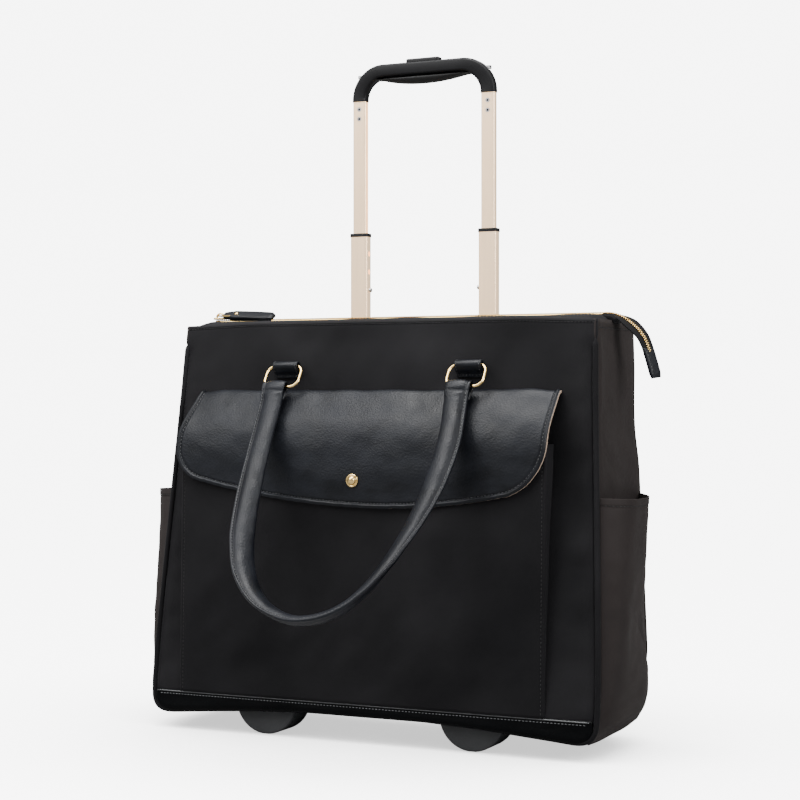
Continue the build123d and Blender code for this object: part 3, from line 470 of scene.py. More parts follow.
def softened(node, name, material, voxel, passes, slot):
    """A rounded copy of a CAD solid: remeshed, smoothed, and shown in its place."""
    source = nodes[node]
    mesh = source.data.copy()
    mesh.materials.clear()
    obj = placed(name, mesh)
    remesh = obj.modifiers.new("remesh", "REMESH")
    remesh.mode = "VOXEL"
    remesh.voxel_size = voxel / 1000
    relax = obj.modifiers.new("relax", "SMOOTH")
    relax.iterations = passes
    relax.factor = 0.5
    obj = applied(obj)
    obj.data.materials.append(material)
    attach(obj, source["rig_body"])
    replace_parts(obj, node)
    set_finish(obj, slot)
    return obj


# ---------------------------------------------------------------- materials


class Nodes:
    """A material under construction, with short names for the nodes used here."""

    def __init__(self, name):
        self.material = bpy.data.materials.new(name)
        self.material.use_nodes = True
        self.tree = self.material.node_tree
        self.shader = next(n for n in self.tree.nodes if n.type == "BSDF_PRINCIPLED")

    def new(self, kind, **settings):
        node = self.tree.nodes.new(kind)
        for key, value in settings.items():
            setattr(node, key, value)
        return node

    def link(self, a, b):
        self.tree.links.new(a, b)

    def set(self, **values):
        for key, value in values.items():
            self.shader.inputs[key.replace("_", " ")].default_value = value
        return self

    def coords(self, kind="Object", scale=(1, 1, 1), rotation=(0, 0, 0)):
        source = self.new("ShaderNodeTexCoord")
        mapping = self.new("ShaderNodeMapping")
        mapping.inputs["Scale"].default_value = scale
        mapping.inputs["Rotation"].default_value = rotation
        self.link(source.outputs[kind], mapping.inputs["Vector"])
        return mapping.outputs["Vector"]

    def noise(self, vector, scale, detail=3.0, roughness=0.5, distortion=0.0):
        node = self.new("ShaderNodeTexNoise")
        node.inputs["Scale"].default_value = scale
        node.inputs["Detail"].default_value = detail
        node.inputs["Roughness"].default_value = roughness
        node.inputs["Distortion"].default_value = distortion
        self.link(vector, node.inputs["Vector"])
        return node.outputs["Fac"]

    def cells(self, vector, scale, feature="F1", smoothness=0.5):
        node = self.new("ShaderNodeTexVoronoi", feature=feature)
        node.inputs["Scale"].default_value = scale
        if feature == "SMOOTH_F1":
            node.inputs["Smoothness"].default_value = smoothness
        self.link(vector, node.inputs["Vector"])
        return node.outputs["Distance"]

    def bands(self, vector, scale):
        node = self.new("ShaderNodeTexWave", wave_type="BANDS", bands_direction="X", wave_profile="SIN")
        node.inputs["Scale"].default_value = scale
        node.inputs["Distortion"].default_value = 0.0
        self.link(vector, node.inputs["Vector"])
        return node.outputs["Fac"]

    def colours(self, value, stops):
        node = self.new("ShaderNodeValToRGB")
        elements = node.color_ramp.elements
        while len(elements) < len(stops):
            elements.new(0.5)
        for element, (position, colour) in zip(elements, stops):
            element.position = position
            element.color = (*colour, 1)
        self.link(value, node.inputs["Fac"])
        return node.outputs["Color"]

    def between(self, value, low, high, start=0.0, end=1.0):
        node = self.new("ShaderNodeMapRange")
        node.inputs["From Min"].default_value = start
        node.inputs["From Max"].default_value = end
        node.inputs["To Min"].default_value = low
        node.inputs["To Max"].default_value = high
        self.link(value, node.inputs["Value"])
        return node.outputs["Result"]

    def maths(self, operation, a, b):
        node = self.new("ShaderNodeMath", operation=operation)
        for slot, value in zip(node.inputs, (a, b)):
            if isinstance(value, (int, float)):
                slot.default_value = value
            else:
                self.link(value, slot)
        return node.outputs["Value"]

    def bump(self, height, distance, strength=1.0, below=None):
        node = self.new("ShaderNodeBump")
        node.inputs["Strength"].default_value = strength
        node.inputs["Distance"].default_value = distance
        self.link(height, node.inputs["Height"])
        if below is not None:
            self.link(below, node.inputs["Normal"])
        return node.outputs["Normal"]

    def paint(self, colour=None, roughness=None, normal=None):
        for socket, value in (("Base Color", colour), ("Roughness", roughness), ("Normal", normal)):
            if value is not None:
                self.link(value, self.shader.inputs[socket])
        return self.material


def nylon(
    name, dark, light, roughness=(0.6, 0.76), sheen=0.04, tint=(0.75, 0.75, 0.8), gloss=0.09, creases=0.5
):
    """Fine twill nylon with soft creases, whose light and shade is partly painted into its colour. It needs
    UVs in metres.
    """
    m = Nodes(name)
    m.set(Sheen_Weight=sheen, Sheen_Roughness=0.45, Sheen_Tint=(*tint, 1), Specular_IOR_Level=gloss)
    uv = m.coords("UV")
    twill = m.bands(m.coords("UV", rotation=(0, 0, radians(38))), 330)
    rib = m.bands(m.coords("UV"), 420)
    weave = m.maths("ADD", m.maths("MULTIPLY", twill, 0.75), m.maths("MULTIPLY", rib, 0.25))
    fuzz = m.noise(uv, 900, 2.0)
    cloud = m.noise(uv, 18, 4.0, 0.55)
    drape = m.noise(m.coords("UV", scale=(1, 0.55, 1), rotation=(0, 0, radians(-33))), 9, 1.0, 0.35, 0.4)
    # the drape noise that bends the creases also lightens and darkens the colour: painted light and shade on
    # the creases, mixed with a random tone
    wear_and_crease_shade = m.maths("ADD", m.maths("MULTIPLY", cloud, 0.3), m.maths("MULTIPLY", drape, 0.45))
    shade = m.maths("ADD", wear_and_crease_shade, m.maths("MULTIPLY", weave, 0.25))
    colour = m.colours(shade, [(0.32, dark), (0.66, light)])
    rough = m.between(cloud, *roughness, 0.3, 0.7)
    soft = m.bump(m.noise(uv, 60, 3.0), 0.0006, 0.25, m.bump(drape, 0.03, creases))
    normal = m.bump(weave, 0.00022, 0.55, m.bump(fuzz, 0.0001, 0.3, soft))
    return m.paint(colour, rough, normal)


def leather(name, dark, light, roughness=(0.4, 0.6), coat=0.03, grain=1.0, gloss=0.2):
    """Smooth grained leather that shines along its folds and edges."""
    m = Nodes(name)
    m.set(Coat_Weight=coat, Coat_Roughness=0.25, Specular_IOR_Level=gloss)
    at = m.coords("Object")
    pores = m.cells(at, 1500)
    pebbles = m.cells(at, 620, "SMOOTH_F1", 0.6)
    streaks = m.noise(m.coords("Object", scale=(1, 1, 2.2)), 38, 5.0, 0.6, 0.4)
    cloud = m.noise(at, 13, 3.0, 0.55)
    tone = m.maths("ADD", m.maths("MULTIPLY", cloud, 0.6), m.maths("MULTIPLY", streaks, 0.4))
    colour = m.colours(tone, [(0.3, dark), (0.7, light)])
    edge = m.new("ShaderNodeNewGeometry").outputs["Pointiness"]
    # on leather this mask only lowers the roughness along rubbed edges, which is real wear
    wear_and_crease_shade = m.between(edge, 0.08, -0.12, 0.44, 0.56)
    base = m.between(
        m.maths("ADD", m.maths("MULTIPLY", streaks, 0.5), m.maths("MULTIPLY", cloud, 0.5)), *roughness,
        0.35, 0.65
    )
    rough = m.maths("ADD", base, wear_and_crease_shade)
    folds = m.bump(m.noise(at, 90, 4.0, 0.6), 0.0009, 0.22 * grain)
    normal = m.bump(pebbles, 0.00035, 0.4 * grain, m.bump(pores, 0.00012, 0.3 * grain, folds))
    return m.paint(colour, rough, normal)


def metal(name, colour, roughness=(0.12, 0.24), brushed=None, painted_glow=0.0):
    """Plated or anodised metal, with brush lines along an axis if asked.

    The last argument sets how strongly it emits its own colour: a painted glow, since the metal is no lamp.
    """
    m = Nodes(name)
    m.set(Metallic=1.0, Emission_Color=(*colour, 1), Emission_Strength=painted_glow)
    at = m.coords("Object")
    cloud = m.noise(at, 40, 3.0)
    tone = m.colours(cloud, [(0.3, [c * 0.93 for c in colour]), (0.7, colour)])
    if brushed:
        lines = m.noise(m.coords("Object", scale=brushed), 900, 3.0, 0.6)
        normal = m.bump(lines, 0.00004, 0.35)
        rough = m.between(lines, *roughness, 0.3, 0.7)
    else:
        normal = m.bump(m.noise(at, 260, 2.0), 0.00005, 0.25)
        rough = m.between(cloud, *roughness, 0.3, 0.7)
    return m.paint(tone, rough, normal)


def moulded(name, dark, light, roughness=(0.38, 0.55), grain=900, depth=0.00008, strength=0.35, gloss=0.3):
    """Plastic or rubber with a fine moulded grain."""
    m = Nodes(name)
    m.set(Specular_IOR_Level=gloss)
    at = m.coords("Object")
    cloud = m.noise(at, 24, 4.0)
    grains = m.noise(at, grain, 2.0)
    colour = m.colours(cloud, [(0.3, dark), (0.7, light)])
    return m.paint(colour, m.between(cloud, *roughness, 0.3, 0.7), m.bump(grains, depth, strength))


NYLON = nylon("nylon_front", (0.0022, 0.0022, 0.0027), (0.0115, 0.0110, 0.0122), creases=1.0)
NYLON_SIDE = nylon(
    "nylon_side", (0.0120, 0.0099, 0.0096), (0.0260, 0.0213, 0.0207), tint=(0.85, 0.78, 0.74), creases=0.8
)
LINING = nylon("lining", (0.02, 0.019, 0.019), (0.035, 0.033, 0.032), sheen=0.02)
# the black leather's light end is set high and bluish: partly its random mottled tone, partly a painted
# mottled sheen
LEATHER = leather("leather_black", (0.0012, 0.0015, 0.0022), (0.0092, 0.0107, 0.0150), grain=1.5)
# a darker copy of the black leather for the trim: painted shade, for a face that turns down away from the
# lights
LEATHER_TRIM = leather(
    "leather_trim_painted_shade", (0.0006, 0.0007, 0.0009), (0.0012, 0.0014, 0.0018), (0.3, 0.5), coat=0.0, gloss=0.06
)
EDGE = moulded("raw_edge", (0.34, 0.25, 0.19), (0.50, 0.38, 0.29), (0.5, 0.7))
THREAD = moulded("thread_black", (0.007, 0.0075, 0.0085), (0.018, 0.019, 0.021), (0.22, 0.36), gloss=0.7)
# the trim's thread is far lighter than the black thread elsewhere: painted highlight in the dashes along the
# trim's top
THREAD_TRIM = moulded("thread_trim_painted_highlight", (0.05, 0.052, 0.056), (0.10, 0.104, 0.11), (0.25, 0.4), gloss=0.6)
# a lighter, glossier copy of the black leather for the bead atop the trim: painted highlight along the
# trim's top edge
LEATHER_BEAD = leather(
    "leather_bead_painted_highlight", (0.012, 0.013, 0.015), (0.035, 0.037, 0.040), (0.2, 0.35), coat=0.3, gloss=0.6
)
THREAD_NYLON = moulded("thread_on_nylon", (0.006, 0.006, 0.0065), (0.013, 0.013, 0.0135), (0.4, 0.55))
GOLD = metal("gold_plate", (0.90, 0.64, 0.27))
# the tubes emit their own colour at strength 1.1: painted light that keeps them pale whatever light falls on
# them
CHAMPAGNE = metal("champagne_anodised_glowing", (1.0, 0.72, 0.46), (0.28, 0.38), brushed=(1, 1, 0.02), painted_glow=1.1)
STEEL = metal("zinc_steel", (0.62, 0.62, 0.62), (0.25, 0.4))
BLACK_PLASTIC = moulded("black_moulding", (0.0045, 0.0045, 0.005), (0.009, 0.009, 0.0098), (0.36, 0.5))
GRIP_PLASTIC = moulded(
    "grip_moulding", (0.0026, 0.0026, 0.0033), (0.0055, 0.0055, 0.0064), (0.45, 0.6), 1400, 0.0001, 0.4, 0.2
)
SOFT_GRIP = moulded(
    "soft_grip", (0.0028, 0.0028, 0.0031), (0.0055, 0.0055, 0.006), (0.55, 0.7), 700, 0.00015, 0.5
)
FOOT_PLASTIC = moulded(
    "foot_moulding", (0.024, 0.0245, 0.026), (0.040, 0.041, 0.043), (0.45, 0.6), 1600, 0.0001, 0.4, 0.2
)
GREY_PLASTIC = moulded("grey_moulding", (0.05, 0.05, 0.053), (0.085, 0.085, 0.09), (0.4, 0.55))
TYRE = moulded("tyre_rubber", (0.012, 0.012, 0.012), (0.024, 0.024, 0.024), (0.6, 0.8), 500, 0.00025, 0.6)
BOARD = moulded("sheet_plastic", (0.025, 0.025, 0.026), (0.04, 0.04, 0.042), (0.45, 0.6), 300, 0.0002, 0.5)
# near-black moulding for painted shade where holes would be
HOLE_SHADE = moulded("painted_hole_shade", (0.003, 0.003, 0.003), (0.005, 0.005, 0.005), (0.7, 0.8))

node_finish = {
    "base_board": BOARD,
    "back_board": BOARD,
    "front_rings": GOLD,
    "rear_rings": GOLD,
    "pull_ring": GOLD,
    "outer_tubes": CHAMPAGNE,
    "lower_tube_left": CHAMPAGNE,
    "lower_tube_right": CHAMPAGNE,
    "upper_tube_left": CHAMPAGNE,
    "upper_tube_right": CHAMPAGNE,
    "collars": BLACK_PLASTIC,
    "bezel_plate": BLACK_PLASTIC,
    "tube_bracket": BLACK_PLASTIC,
    "wheel_housings": BLACK_PLASTIC,
    "wheel_hub_left": GREY_PLASTIC,
    "wheel_hub_right": GREY_PLASTIC,
    "axles": STEEL,
    "stop_pin_left": STEEL,
    "stop_pin_right": STEEL,
    "grip_screws": STEEL,
    "bezel_screws": STEEL,
    "foot_screws": STEEL,
    "release_link": STEEL,
    "release_springs": STEEL,
    "snap_socket": STEEL,
}
for node_name, finish in node_finish.items():
    materials = nodes[node_name].data.materials
    materials.clear()
    materials.append(finish)


# ---------------------------------------------------------------- sewing


def lined(name, rows, cloth, outward, thickness, node, body="case", skip=None):
    """A panel of cloth with its lining inside, shown in place of a CAD node."""
    obj = sheet_mesh(name, rows, [cloth, LINING], body, outward, slot="nylon", skip=skip)
    shell(obj, thickness, inner=1)
    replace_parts(obj, node)


def nylon_seam(name, line, normals, body="case", **size):
    stitches(name, line, normals, THREAD_NYLON, body, slot="nylon", **size)


def leather_seam(name, line, normals, body, pitch, length, width=0.65):
    return stitches(name, line, normals, THREAD, body, pitch, length, width, slot="leather")


# ---------------------------------------------------------------- the bag's own surfaces

# how far the side seams stand from the middle, by height
SEAM_HALF = [(28, 226), (45, 227.5), (85, 226.5), (160, 223), (250, 218.5), (330, 214.5), (387, 212.5)]
# height of the lowest line of the front, by distance from the middle
HEM_LOW = [(60, 23.4), (110, 21.4), (150, 18.4), (205, 14.0)]
CORNER_X, CORNER_Z, CORNER_R = 203.0, 41.0, 25.0  # lower front corners
CORNER_SQUARE = 3.2  # 2 is round, more is squarer


def seam_half(z):
    return linear_value(SEAM_HALF, z)


def corner_reach(u):
    """How far a lower corner still stands out at a share u of its height, from 1 down to 0."""
    return (1 - min(max(u, 0.0), 1.0) ** CORNER_SQUARE) ** (1 / CORNER_SQUARE)


def front_y(z):
    return -TOP_DEPTH - (TOP_Z - z) * LEAN


def welt_share(z):
    """1 where the side seam holds a welt, 0 above its end."""
    return 1 - ramp(WELT_TOP_Z - 12, WELT_TOP_Z + 2, z)


def front_surface(x, z):
    """Y of the front nylon at a place, with its tuck beside the seams and its soft folds."""
    welt = welt_share(z)
    edge = seam_half(z) - SEAM_ROOM * welt - HEM_ROOM * (1 - welt)
    gap = edge - abs(x)
    tuck = (2.2 * welt + 1.4 * (1 - welt)) * (1 - ramp(0, 9, gap))
    puff = 0.9 * ramp(0, 60, gap) * ramp(40, 120, z) * ramp(0, 40, TOP_Z - z)
    folds = 3.4 * ripple(
        x + 0.5 * z, 0, z * 0.6 - 0.3 * x, 66, 3
    ) + 1.5 * ripple(x * 1.2 - 0.4 * z, 0, z * 0.6, 27, 5)
    pinch = 1.9 * ripple(x * 0.25, 0, z, 19, 9) * (1 - ramp(4, 44, gap)) * ramp(1, 9, gap)
    calm = ramp(0, 22, TOP_Z - z)
    return front_y(z) + tuck - puff - (folds * 0.6 + pinch) * calm * ramp(0, 14, gap + 6)


def front_normal():
    return Vector((0, -1, LEAN)).normalized()


def front_point(x, z, out=0.0):
    n = front_normal()
    return Vector((x, front_surface(x, z), z)) + n * out


def crown(x, z):
    """How far the hem of the front stands up along the middle of the zip."""
    return 2.2 * ramp(0, 80, 212 - abs(x)) * ramp(368, 384, z)


def build_front():
    """The front panel, hemmed at the top."""
    heights = [387.2, 386.6, 385.4, 384.5, 383.9, 383.3, 382.4, 380.5, 377.4] + spaced(96, 374, 33)
    fractions = [-1, -0.992, -0.982, -0.968] + spaced(110, -0.95, 0.95) + [0.968, 0.982, 0.992, 1]
    rows = []
    for z in heights:
        welt = welt_share(z)
        edge = seam_half(z) - SEAM_ROOM * welt - HEM_ROOM * (1 - welt)
        hem = 0.3 * ramp(383.6, 384.6, z) - 0.3 * max(0.0, 1 - abs(z - 383.6) / 0.9)
        fold = 1.6 * ramp(385, 387.2, z) ** 2
        rows.append(
            [(u * edge, front_surface(u * edge, z) - hem + fold, z + crown(u * edge, z)) for u in fractions]
        )
    lined("front_nylon", rows, NYLON, (0, -1, 0), 2.6, "front_panel")
    line = [front_point(x, 383.7, 0.15) + Vector((0, 0, crown(x, 383.7))) for x in spaced(200, -210, 210)]
    nylon_seam("top_hem_stitching", line, front_normal())


# ---- sides


def waist(z):
    """How far the rear edge of a side is drawn in, above its pocket."""
    return 2.2 * (ramp(250, 290, z) - ramp(296, 350, z))


def low_edge(y):
    """Height of the lowest line of a side, by depth: it hangs at the front and rises to the heel."""
    return curve_value([(-151, 15.0), (-100, 13.5), (-62, 15.5), (-30, 23.0), (-4, 40.0)], y)


def side_contour(y):
    """The outline of a side at one depth, from its top edge down and under to the bottom panel."""
    low = low_edge(y)
    heel = ramp(-58, -3, y)
    belly = seam_half(60)
    out = [Vector((seam_half(z), 0, z)) for z in spaced(40, TOP_Z, 74)]
    curl = [
        (belly + 0.6, 0, 72),
        (belly + 1.2, 0, 56 + 6 * heel),
        (belly - 1.0 - 2 * heel, 0, max(40.0, low + 12)),
        (belly - 9 - 3 * heel, 0, low + 3.5),
        (belly - 20 - 3 * heel, 0, low),
        (belly - 32, 0, low + 2.5 * (1 - heel)),
        (186, 0, 27.5 + 24 * heel * ramp(-50, -4, y)),
    ]
    return out + smooth_path(curl, 6)[1:]


def side_surface_rows(sign):
    """Rows down the side; each row runs from the front seam to the back seam."""
    depth_steps = [0, 0.012, 0.03, 0.055] + spaced(34, 0.085, 0.915) + [0.945, 0.97, 0.988, 1]
    count = 96
    contours = []
    for v in depth_steps:
        column = []
        y_mid = -150 + v * 146
        path = resampled(side_contour(y_mid), count)
        for p in path:
            z = p.z
            welt = welt_share(z)
            front = front_y(max(z, 16)) + SEAM_ROOM * welt + HEM_ROOM * (1 - welt)
            rear = -5.0
            y = front + (rear - front) * v
            column.append(Vector((p.x, y, z)))
        contours.append(column)
    rows = []
    for i in range(count + 1):
        row = []
        for j, v in enumerate(depth_steps):
            p = contours[j][i]
            gap = min(v, 1 - v) * 140
            tuck = 2.3 * (1 - ramp(0, 8, gap)) * ramp(10, 60, p.z)
            hollow = waist(p.z) * ramp(0.05, 0.9, v)
            folds = 2.2 * ripple(0, p.y, p.z * 0.6, 46, 11 + sign) + 1.1 * ripple(
                0, p.y + 0.4 * p.z, p.z, 21, 13 + sign
            )
            pinch = 0.9 * ripple(
                0, p.y * 0.3, p.z, 13, 17 + sign
            ) * (1 - ramp(3, 24, gap)) * ramp(1, 6, gap)
            side = ramp(30, 60, p.z)
            soft = (folds + pinch) * ramp(0, 10, gap) * ramp(0, 20, TOP_Z - p.z) * side
            x = p.x - (tuck + hollow) * side + soft
            row.append((sign * x, p.y, p.z))
        rows.append(row)
    return rows


def build_sides():
    for sign, tag in ((1, "right"), (-1, "left")):
        rows = side_surface_rows(sign)
        lined(f"side_nylon_{tag}", rows, NYLON_SIDE, (sign, 0, 0), 2.4, f"gusset_{tag}")
        line = []
        for j in range(len(rows[0])):
            a, b = Vector(rows[1][j]), Vector(rows[2][j])
            line.append(a.lerp(b, 0.8) + Vector((sign * 0.2, 0, 0)))
        nylon_seam(f"side_hem_stitching_{tag}", line[2:-2], (sign, 0, 0))


def build_bottom():
    """The bottom with its curved heel, notched round the wheel housings."""
    xs = [-186, -180, -172.5] + spaced(4, -168, -132) + spaced(40, -127.5, 127.5)
    xs += spaced(4, 132, 168) + [172.5, 180, 186]
    arc = []
    for k in range(15):
        a = radians(90 * k / 14)
        arc.append((-HEEL_R + HEEL_R * cos(a), BASE_Z + HEEL_R - HEEL_R * sin(a)))
    flat = [(y, BASE_Z) for y in (-60, -66, -71.5, -78, -90, -105, -120, -135, -146)]
    rows = []
    for y, z in arc + flat:
        rows.append([(x, y + (0.6 if z > 40 else 0), z - 0.4 + 0.8 * ripple(x, y, z, 40, 31)) for x in xs])
    notch_to = next(i for i, row in enumerate(rows) if row[0][1] < -71)

    def skip(i, j):
        x = (xs[j] + xs[j + 1]) / 2
        return 128 < abs(x) < 172 and i < notch_to and rows[i][0][2] < 76

    lined("bottom_nylon", rows, NYLON_SIDE, (0, 0.3, -1), 2.0, "bottom_panel", skip=skip)


def back_surface(x, z):
    half = seam_half(z) - 5
    gap = half - abs(x)
    return -2.0 * (
        1 - ramp(0, 8, gap)
    ) + 0.9 * ramp(0, 70, gap) + 1.1 * ripple(x, 0, z, 70, 41) * ramp(0, 15, gap)


def build_back():
    fractions = [-1, -0.99, -0.978] + spaced(90, -0.962, 0.962) + [0.978, 0.99, 1]
    heights = [384, 383, 381] + spaced(70, 378, 84) + [83]
    rows = []
    for z in heights:
        half = seam_half(z) - 5 - waist(z)
        rows.append([(u * half, back_surface(u * half, z), z) for u in fractions])
    lined("back_nylon", rows, NYLON_SIDE, (0, 1, 0), 2.2, "back_panel")
    for name, z in (("back_top_stitching", 374.0), ("back_heel_stitching", 90.0)):
        half = seam_half(z) - 12
        line = [(x, back_surface(x, z) + 0.1, z) for x in spaced(160, -half, half)]
        nylon_seam(name, line, (0, 1, 0))


def welt_radius(z):
    return WELT_R * (1 - 0.86 * ramp(WELT_TOP_Z - 7, WELT_TOP_Z, z))


def build_welts():
    """The covered cords in the front seams and down the back corners."""
    side = [Vector((seam_half(z) - 2.6, front_y(z) + 2.3, z)) for z in spaced(60, WELT_TOP_Z, 46)]
    corner = []
    share = 2 / CORNER_SQUARE
    for k in range(1, 19):
        a = radians(90 * k / 18)
        x = CORNER_X + (seam_half(CORNER_Z) - 2.6 - CORNER_X) * max(cos(a), 0.0) ** share
        z = CORNER_Z - (CORNER_R - 1.2) * sin(a) ** share
        corner.append(Vector((x, front_y(z) + 2.6, z)))
    under = []
    for x in spaced(36, CORNER_X - 8, 0):
        z = hem_low(x) + 3.2
        under.append(Vector((x, front_y(z) + 4.2, z)))
    half = side + corner + under
    path = resampled(half + [Vector((-p.x, p.y, p.z)) for p in half[-2::-1]], pitch=2.6)
    radii = [welt_radius(p.z) / WELT_R for p in path]
    wobble = [1 + 0.035 * ripple(p.x, p.y, p.z, 14, 51) for p in path]
    cord = swept(
        "front_welt", path, ring_section(WELT_R, 16), NYLON, "case", up=(0, -1, 0), slot="nylon",
        scale=lambda i: radii[i] * wobble[i],
    )
    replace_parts(cord, "front_piping")
    pieces = []
    for sign in (1, -1):
        line = [(sign * (seam_half(z) - 4.2 - waist(z)), -2.4, z) for z in spaced(50, 381, 84)]
        for k in range(1, 12):
            a = radians(72 * k / 11)
            y, z = -HEEL_R + (HEEL_R - 2.4) * cos(a), BASE_Z + HEEL_R - (HEEL_R - 2.4) * sin(a)
            line.append((sign * (seam_half(z) - 4.2 - 26 * (k / 11) ** 2), y, z))
        pieces.append(
            swept(
                f"back_welt_{sign}", resampled(line, pitch=4), ring_section(WELT_R, 12), NYLON_SIDE, "case",
                slot="nylon"
            )
        )
    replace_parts(joined("back_welts", pieces), "back_piping")


def hem_low(x):
    return linear_value(HEM_LOW, abs(x))


def build_trim():
    """Glossy leather along the foot of the front, turned under."""
    profile_steps = 22
    rows = [[] for _ in range(profile_steps + 1)]
    for u in spaced(150, -1, 1):
        ax = abs(u)
        x_top = u * 221.5
        low = hem_low(x_top)
        rise = CORNER_R * (1 - corner_reach((abs(x_top) - CORNER_X + 4) / 23.5))
        low = min(low + rise, TRIM_TOP_Z - 2.5)
        belly = 0.9 * (1 - ramp(0.9, 1.0, ax))
        drop = TRIM_TOP_Z - low
        section = [
            (front_y(TRIM_TOP_Z) - 0.9, TRIM_TOP_Z),
            (front_y(TRIM_TOP_Z) - 1.7, TRIM_TOP_Z - 0.8),
            (front_y(TRIM_TOP_Z) - 1.5, TRIM_TOP_Z - 2.6),
            (front_y(TRIM_TOP_Z) - 1.5 - belly, TRIM_TOP_Z - 0.45 * drop),
            (front_y(low) - 0.6 - belly * 0.5, low + 0.2 * drop),
            (front_y(low) + 3.5, low + 0.4),
            (front_y(low) + 12, low + 0.2 + (26 - low) * 0.1),
            (front_y(low) + 26, low + (26.2 - low) * 0.55),
            (front_y(low) + 40, 26.2),
        ]
        line = resampled(smooth_path([(0, a, b) for a, b in section], 6), profile_steps)
        for t, p in enumerate(line):
            f = 1 - 0.045 * ramp(0.35, 0.8, t / profile_steps) * ramp(0.8, 1, ax)
            folds = 0.6 * ripple(x_top, p.y, p.z * 1.5, 40, 61) + 0.15 * ripple(x_top, p.y, p.z, 13, 63)
            rows[t].append((x_top * f, p.y - folds * ramp(1, 5, t) * 0.8, p.z))
    obj = sheet_mesh("base_trim_leather", rows, LEATHER_TRIM, "case", (0, -1, -0.3), slot="leather")
    shell(obj, 1.2)
    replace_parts(obj, "front_base_trim")
    line = [Vector((x, front_y(TRIM_TOP_Z) - 1.75, TRIM_TOP_Z - 4.0)) for x in spaced(200, -216, 216)]
    stitches("base_trim_stitching", line, (0, -1, 0.1), THREAD_TRIM, "case", slot="leather")
    # the bead is real, and its lighter leather paints the highlight along the trim's top edge
    bead = [(x, front_y(TRIM_TOP_Z) - 1.8, TRIM_TOP_Z - 1.5) for x in spaced(120, -219, 219)]
    swept("base_trim_bead", bead, ring_section(0.7, 8), LEATHER_BEAD, "case", slot="leather")


# ---------------------------------------------------------------- front pocket and flap


def pocket_plane_y(z):
    return -148 - (POCKET_TOP_Z - z) * tan(radians(1.1))


def pocket_surface(x, z):
    """Y of the front pocket's face, rolled back at its side edges."""
    gap = POCKET_HALF - abs(x - POCKET_X)
    roll = 1.8 * (1 - sqrt(max(0.0, 1 - (1 - min(gap, 2.0) / 2.0) ** 2)))
    groove = 0.45 * max(0.0, 1 - abs(gap - POCKET_STITCH) / 1.0)
    puff = 1.6 * ramp(6, 70, gap) * ramp(36, 110, z)
    folds = 4.2 * ripple(
        x * 0.8 - z * 0.5, 0, z * 0.7 + x * 0.3, 74, 21
    ) + 1.7 * ripple(x - z * 0.6, 0, z * 0.6 + x * 0.2, 31, 23)
    slant = 1.3 * ripple(x * 0.7 - z * 0.7, 0, z * 0.4 + x * 0.3, 17, 25) * (1 - ramp(90, 200, z))
    open_face = ramp(6, 34, gap) * ramp(36, 62, z) * (1 - 0.9 * ramp(190, 225, z))
    return pocket_plane_y(z) + roll + groove - puff - (folds + slant) * 0.8 * open_face


def build_pocket():
    gaps = [0, 0.4, 0.9, 1.6, 2.4, 3.1, 3.6, 4.1, 5.0, 7.0, 10, 14]
    left = [-POCKET_HALF + g for g in gaps]
    xs = left + spaced(92, -POCKET_HALF + 18, POCKET_HALF - 18) + [-v for v in reversed(left)]
    heights = [276.0, 274.5, 272] + spaced(78, 269, 36)
    rows = [[(x + POCKET_X, pocket_surface(x + POCKET_X, z), z) for x in xs] for z in heights]
    lined("pocket_nylon", rows, NYLON, (0, -1, 0), 2.0, "pocket_panel")
    for sign, tag in ((-1, "left"), (1, "right")):
        x = POCKET_X + sign * (POCKET_HALF - POCKET_STITCH)
        line = [(x, pocket_surface(x, z) - 0.15, z) for z in spaced(120, 268, 38)]
        nylon_seam(f"pocket_stitching_{tag}", line, (0, -1, 0), pitch=3.6, length=2.2)
    # the wedges at the pocket's sides
    pieces = []
    for sign in (-1, 1):
        rows = []
        for z in spaced(44, 275.5, 38):
            x = POCKET_X + sign * (POCKET_HALF - 1.2)
            near, far = pocket_plane_y(z) + 2.4, front_y(z) + 0.6
            inward = min(9.0, max(0.0, far - near) * (0.1 if sign > 0 else 0.34))
            row = []
            for t in spaced(8):
                bend = inward * sin(pi * t)
                row.append((x - sign * bend, near + (far - near) * t, z + 0.6 * ripple(x, 0, z, 18, 71)))
            rows.append(row)
        side = sheet_mesh(f"pocket_side_{sign}", rows, NYLON, "case", (sign, 0, 0), slot="nylon")
        pieces.append(shell(side, 1.0))
    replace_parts(joined("pocket_side_nylon", pieces), "pocket_gusset")


# The flap's middle line from its sewn edge to below its hem, as (Y, Z)
FLAP_LINE = [
    (-118.9, 323.0), (-122.6, 322.4), (-127.2, 318.2), (-132.4, 311.4), (-138.8, 302.6),
    (-144.8, 292.8), (-149.0, 282.4),
    (-151.6, 270.0), (-153.0, 254.0), (-153.8, 236.0), (-154.4, 205.0),
]
EDGE_STEPS = [0, 0.3, 0.7, 1.2, 1.7, 2.2, 2.8, 3.4, 3.9, 4.4, 4.9, 5.6, 6.8, 8.5, 11.0]
FLAP_STITCH = 4.4


def flap_sides(s):
    """The left and right edges of the flap at a distance down from its sewn edge."""
    drop = ramp(0, 62, s)
    return -188.0 - 10.0 * drop, 182.0 - 2.6 * drop


def flap_low(x):
    """Height of the flap's hem, with its lower corners."""
    bow = 216.3 + (0.00063 if x < 15 else 0.0008) * (x - 15) ** 2
    corner, over = (24.0, (-174 - x) / 24.0) if x < 0 else (40.0, (x - 139.4) / 40.0)
    over = min(max(over, 0.0), 1.0)
    return bow + corner * (1 - sqrt(1 - over * over))


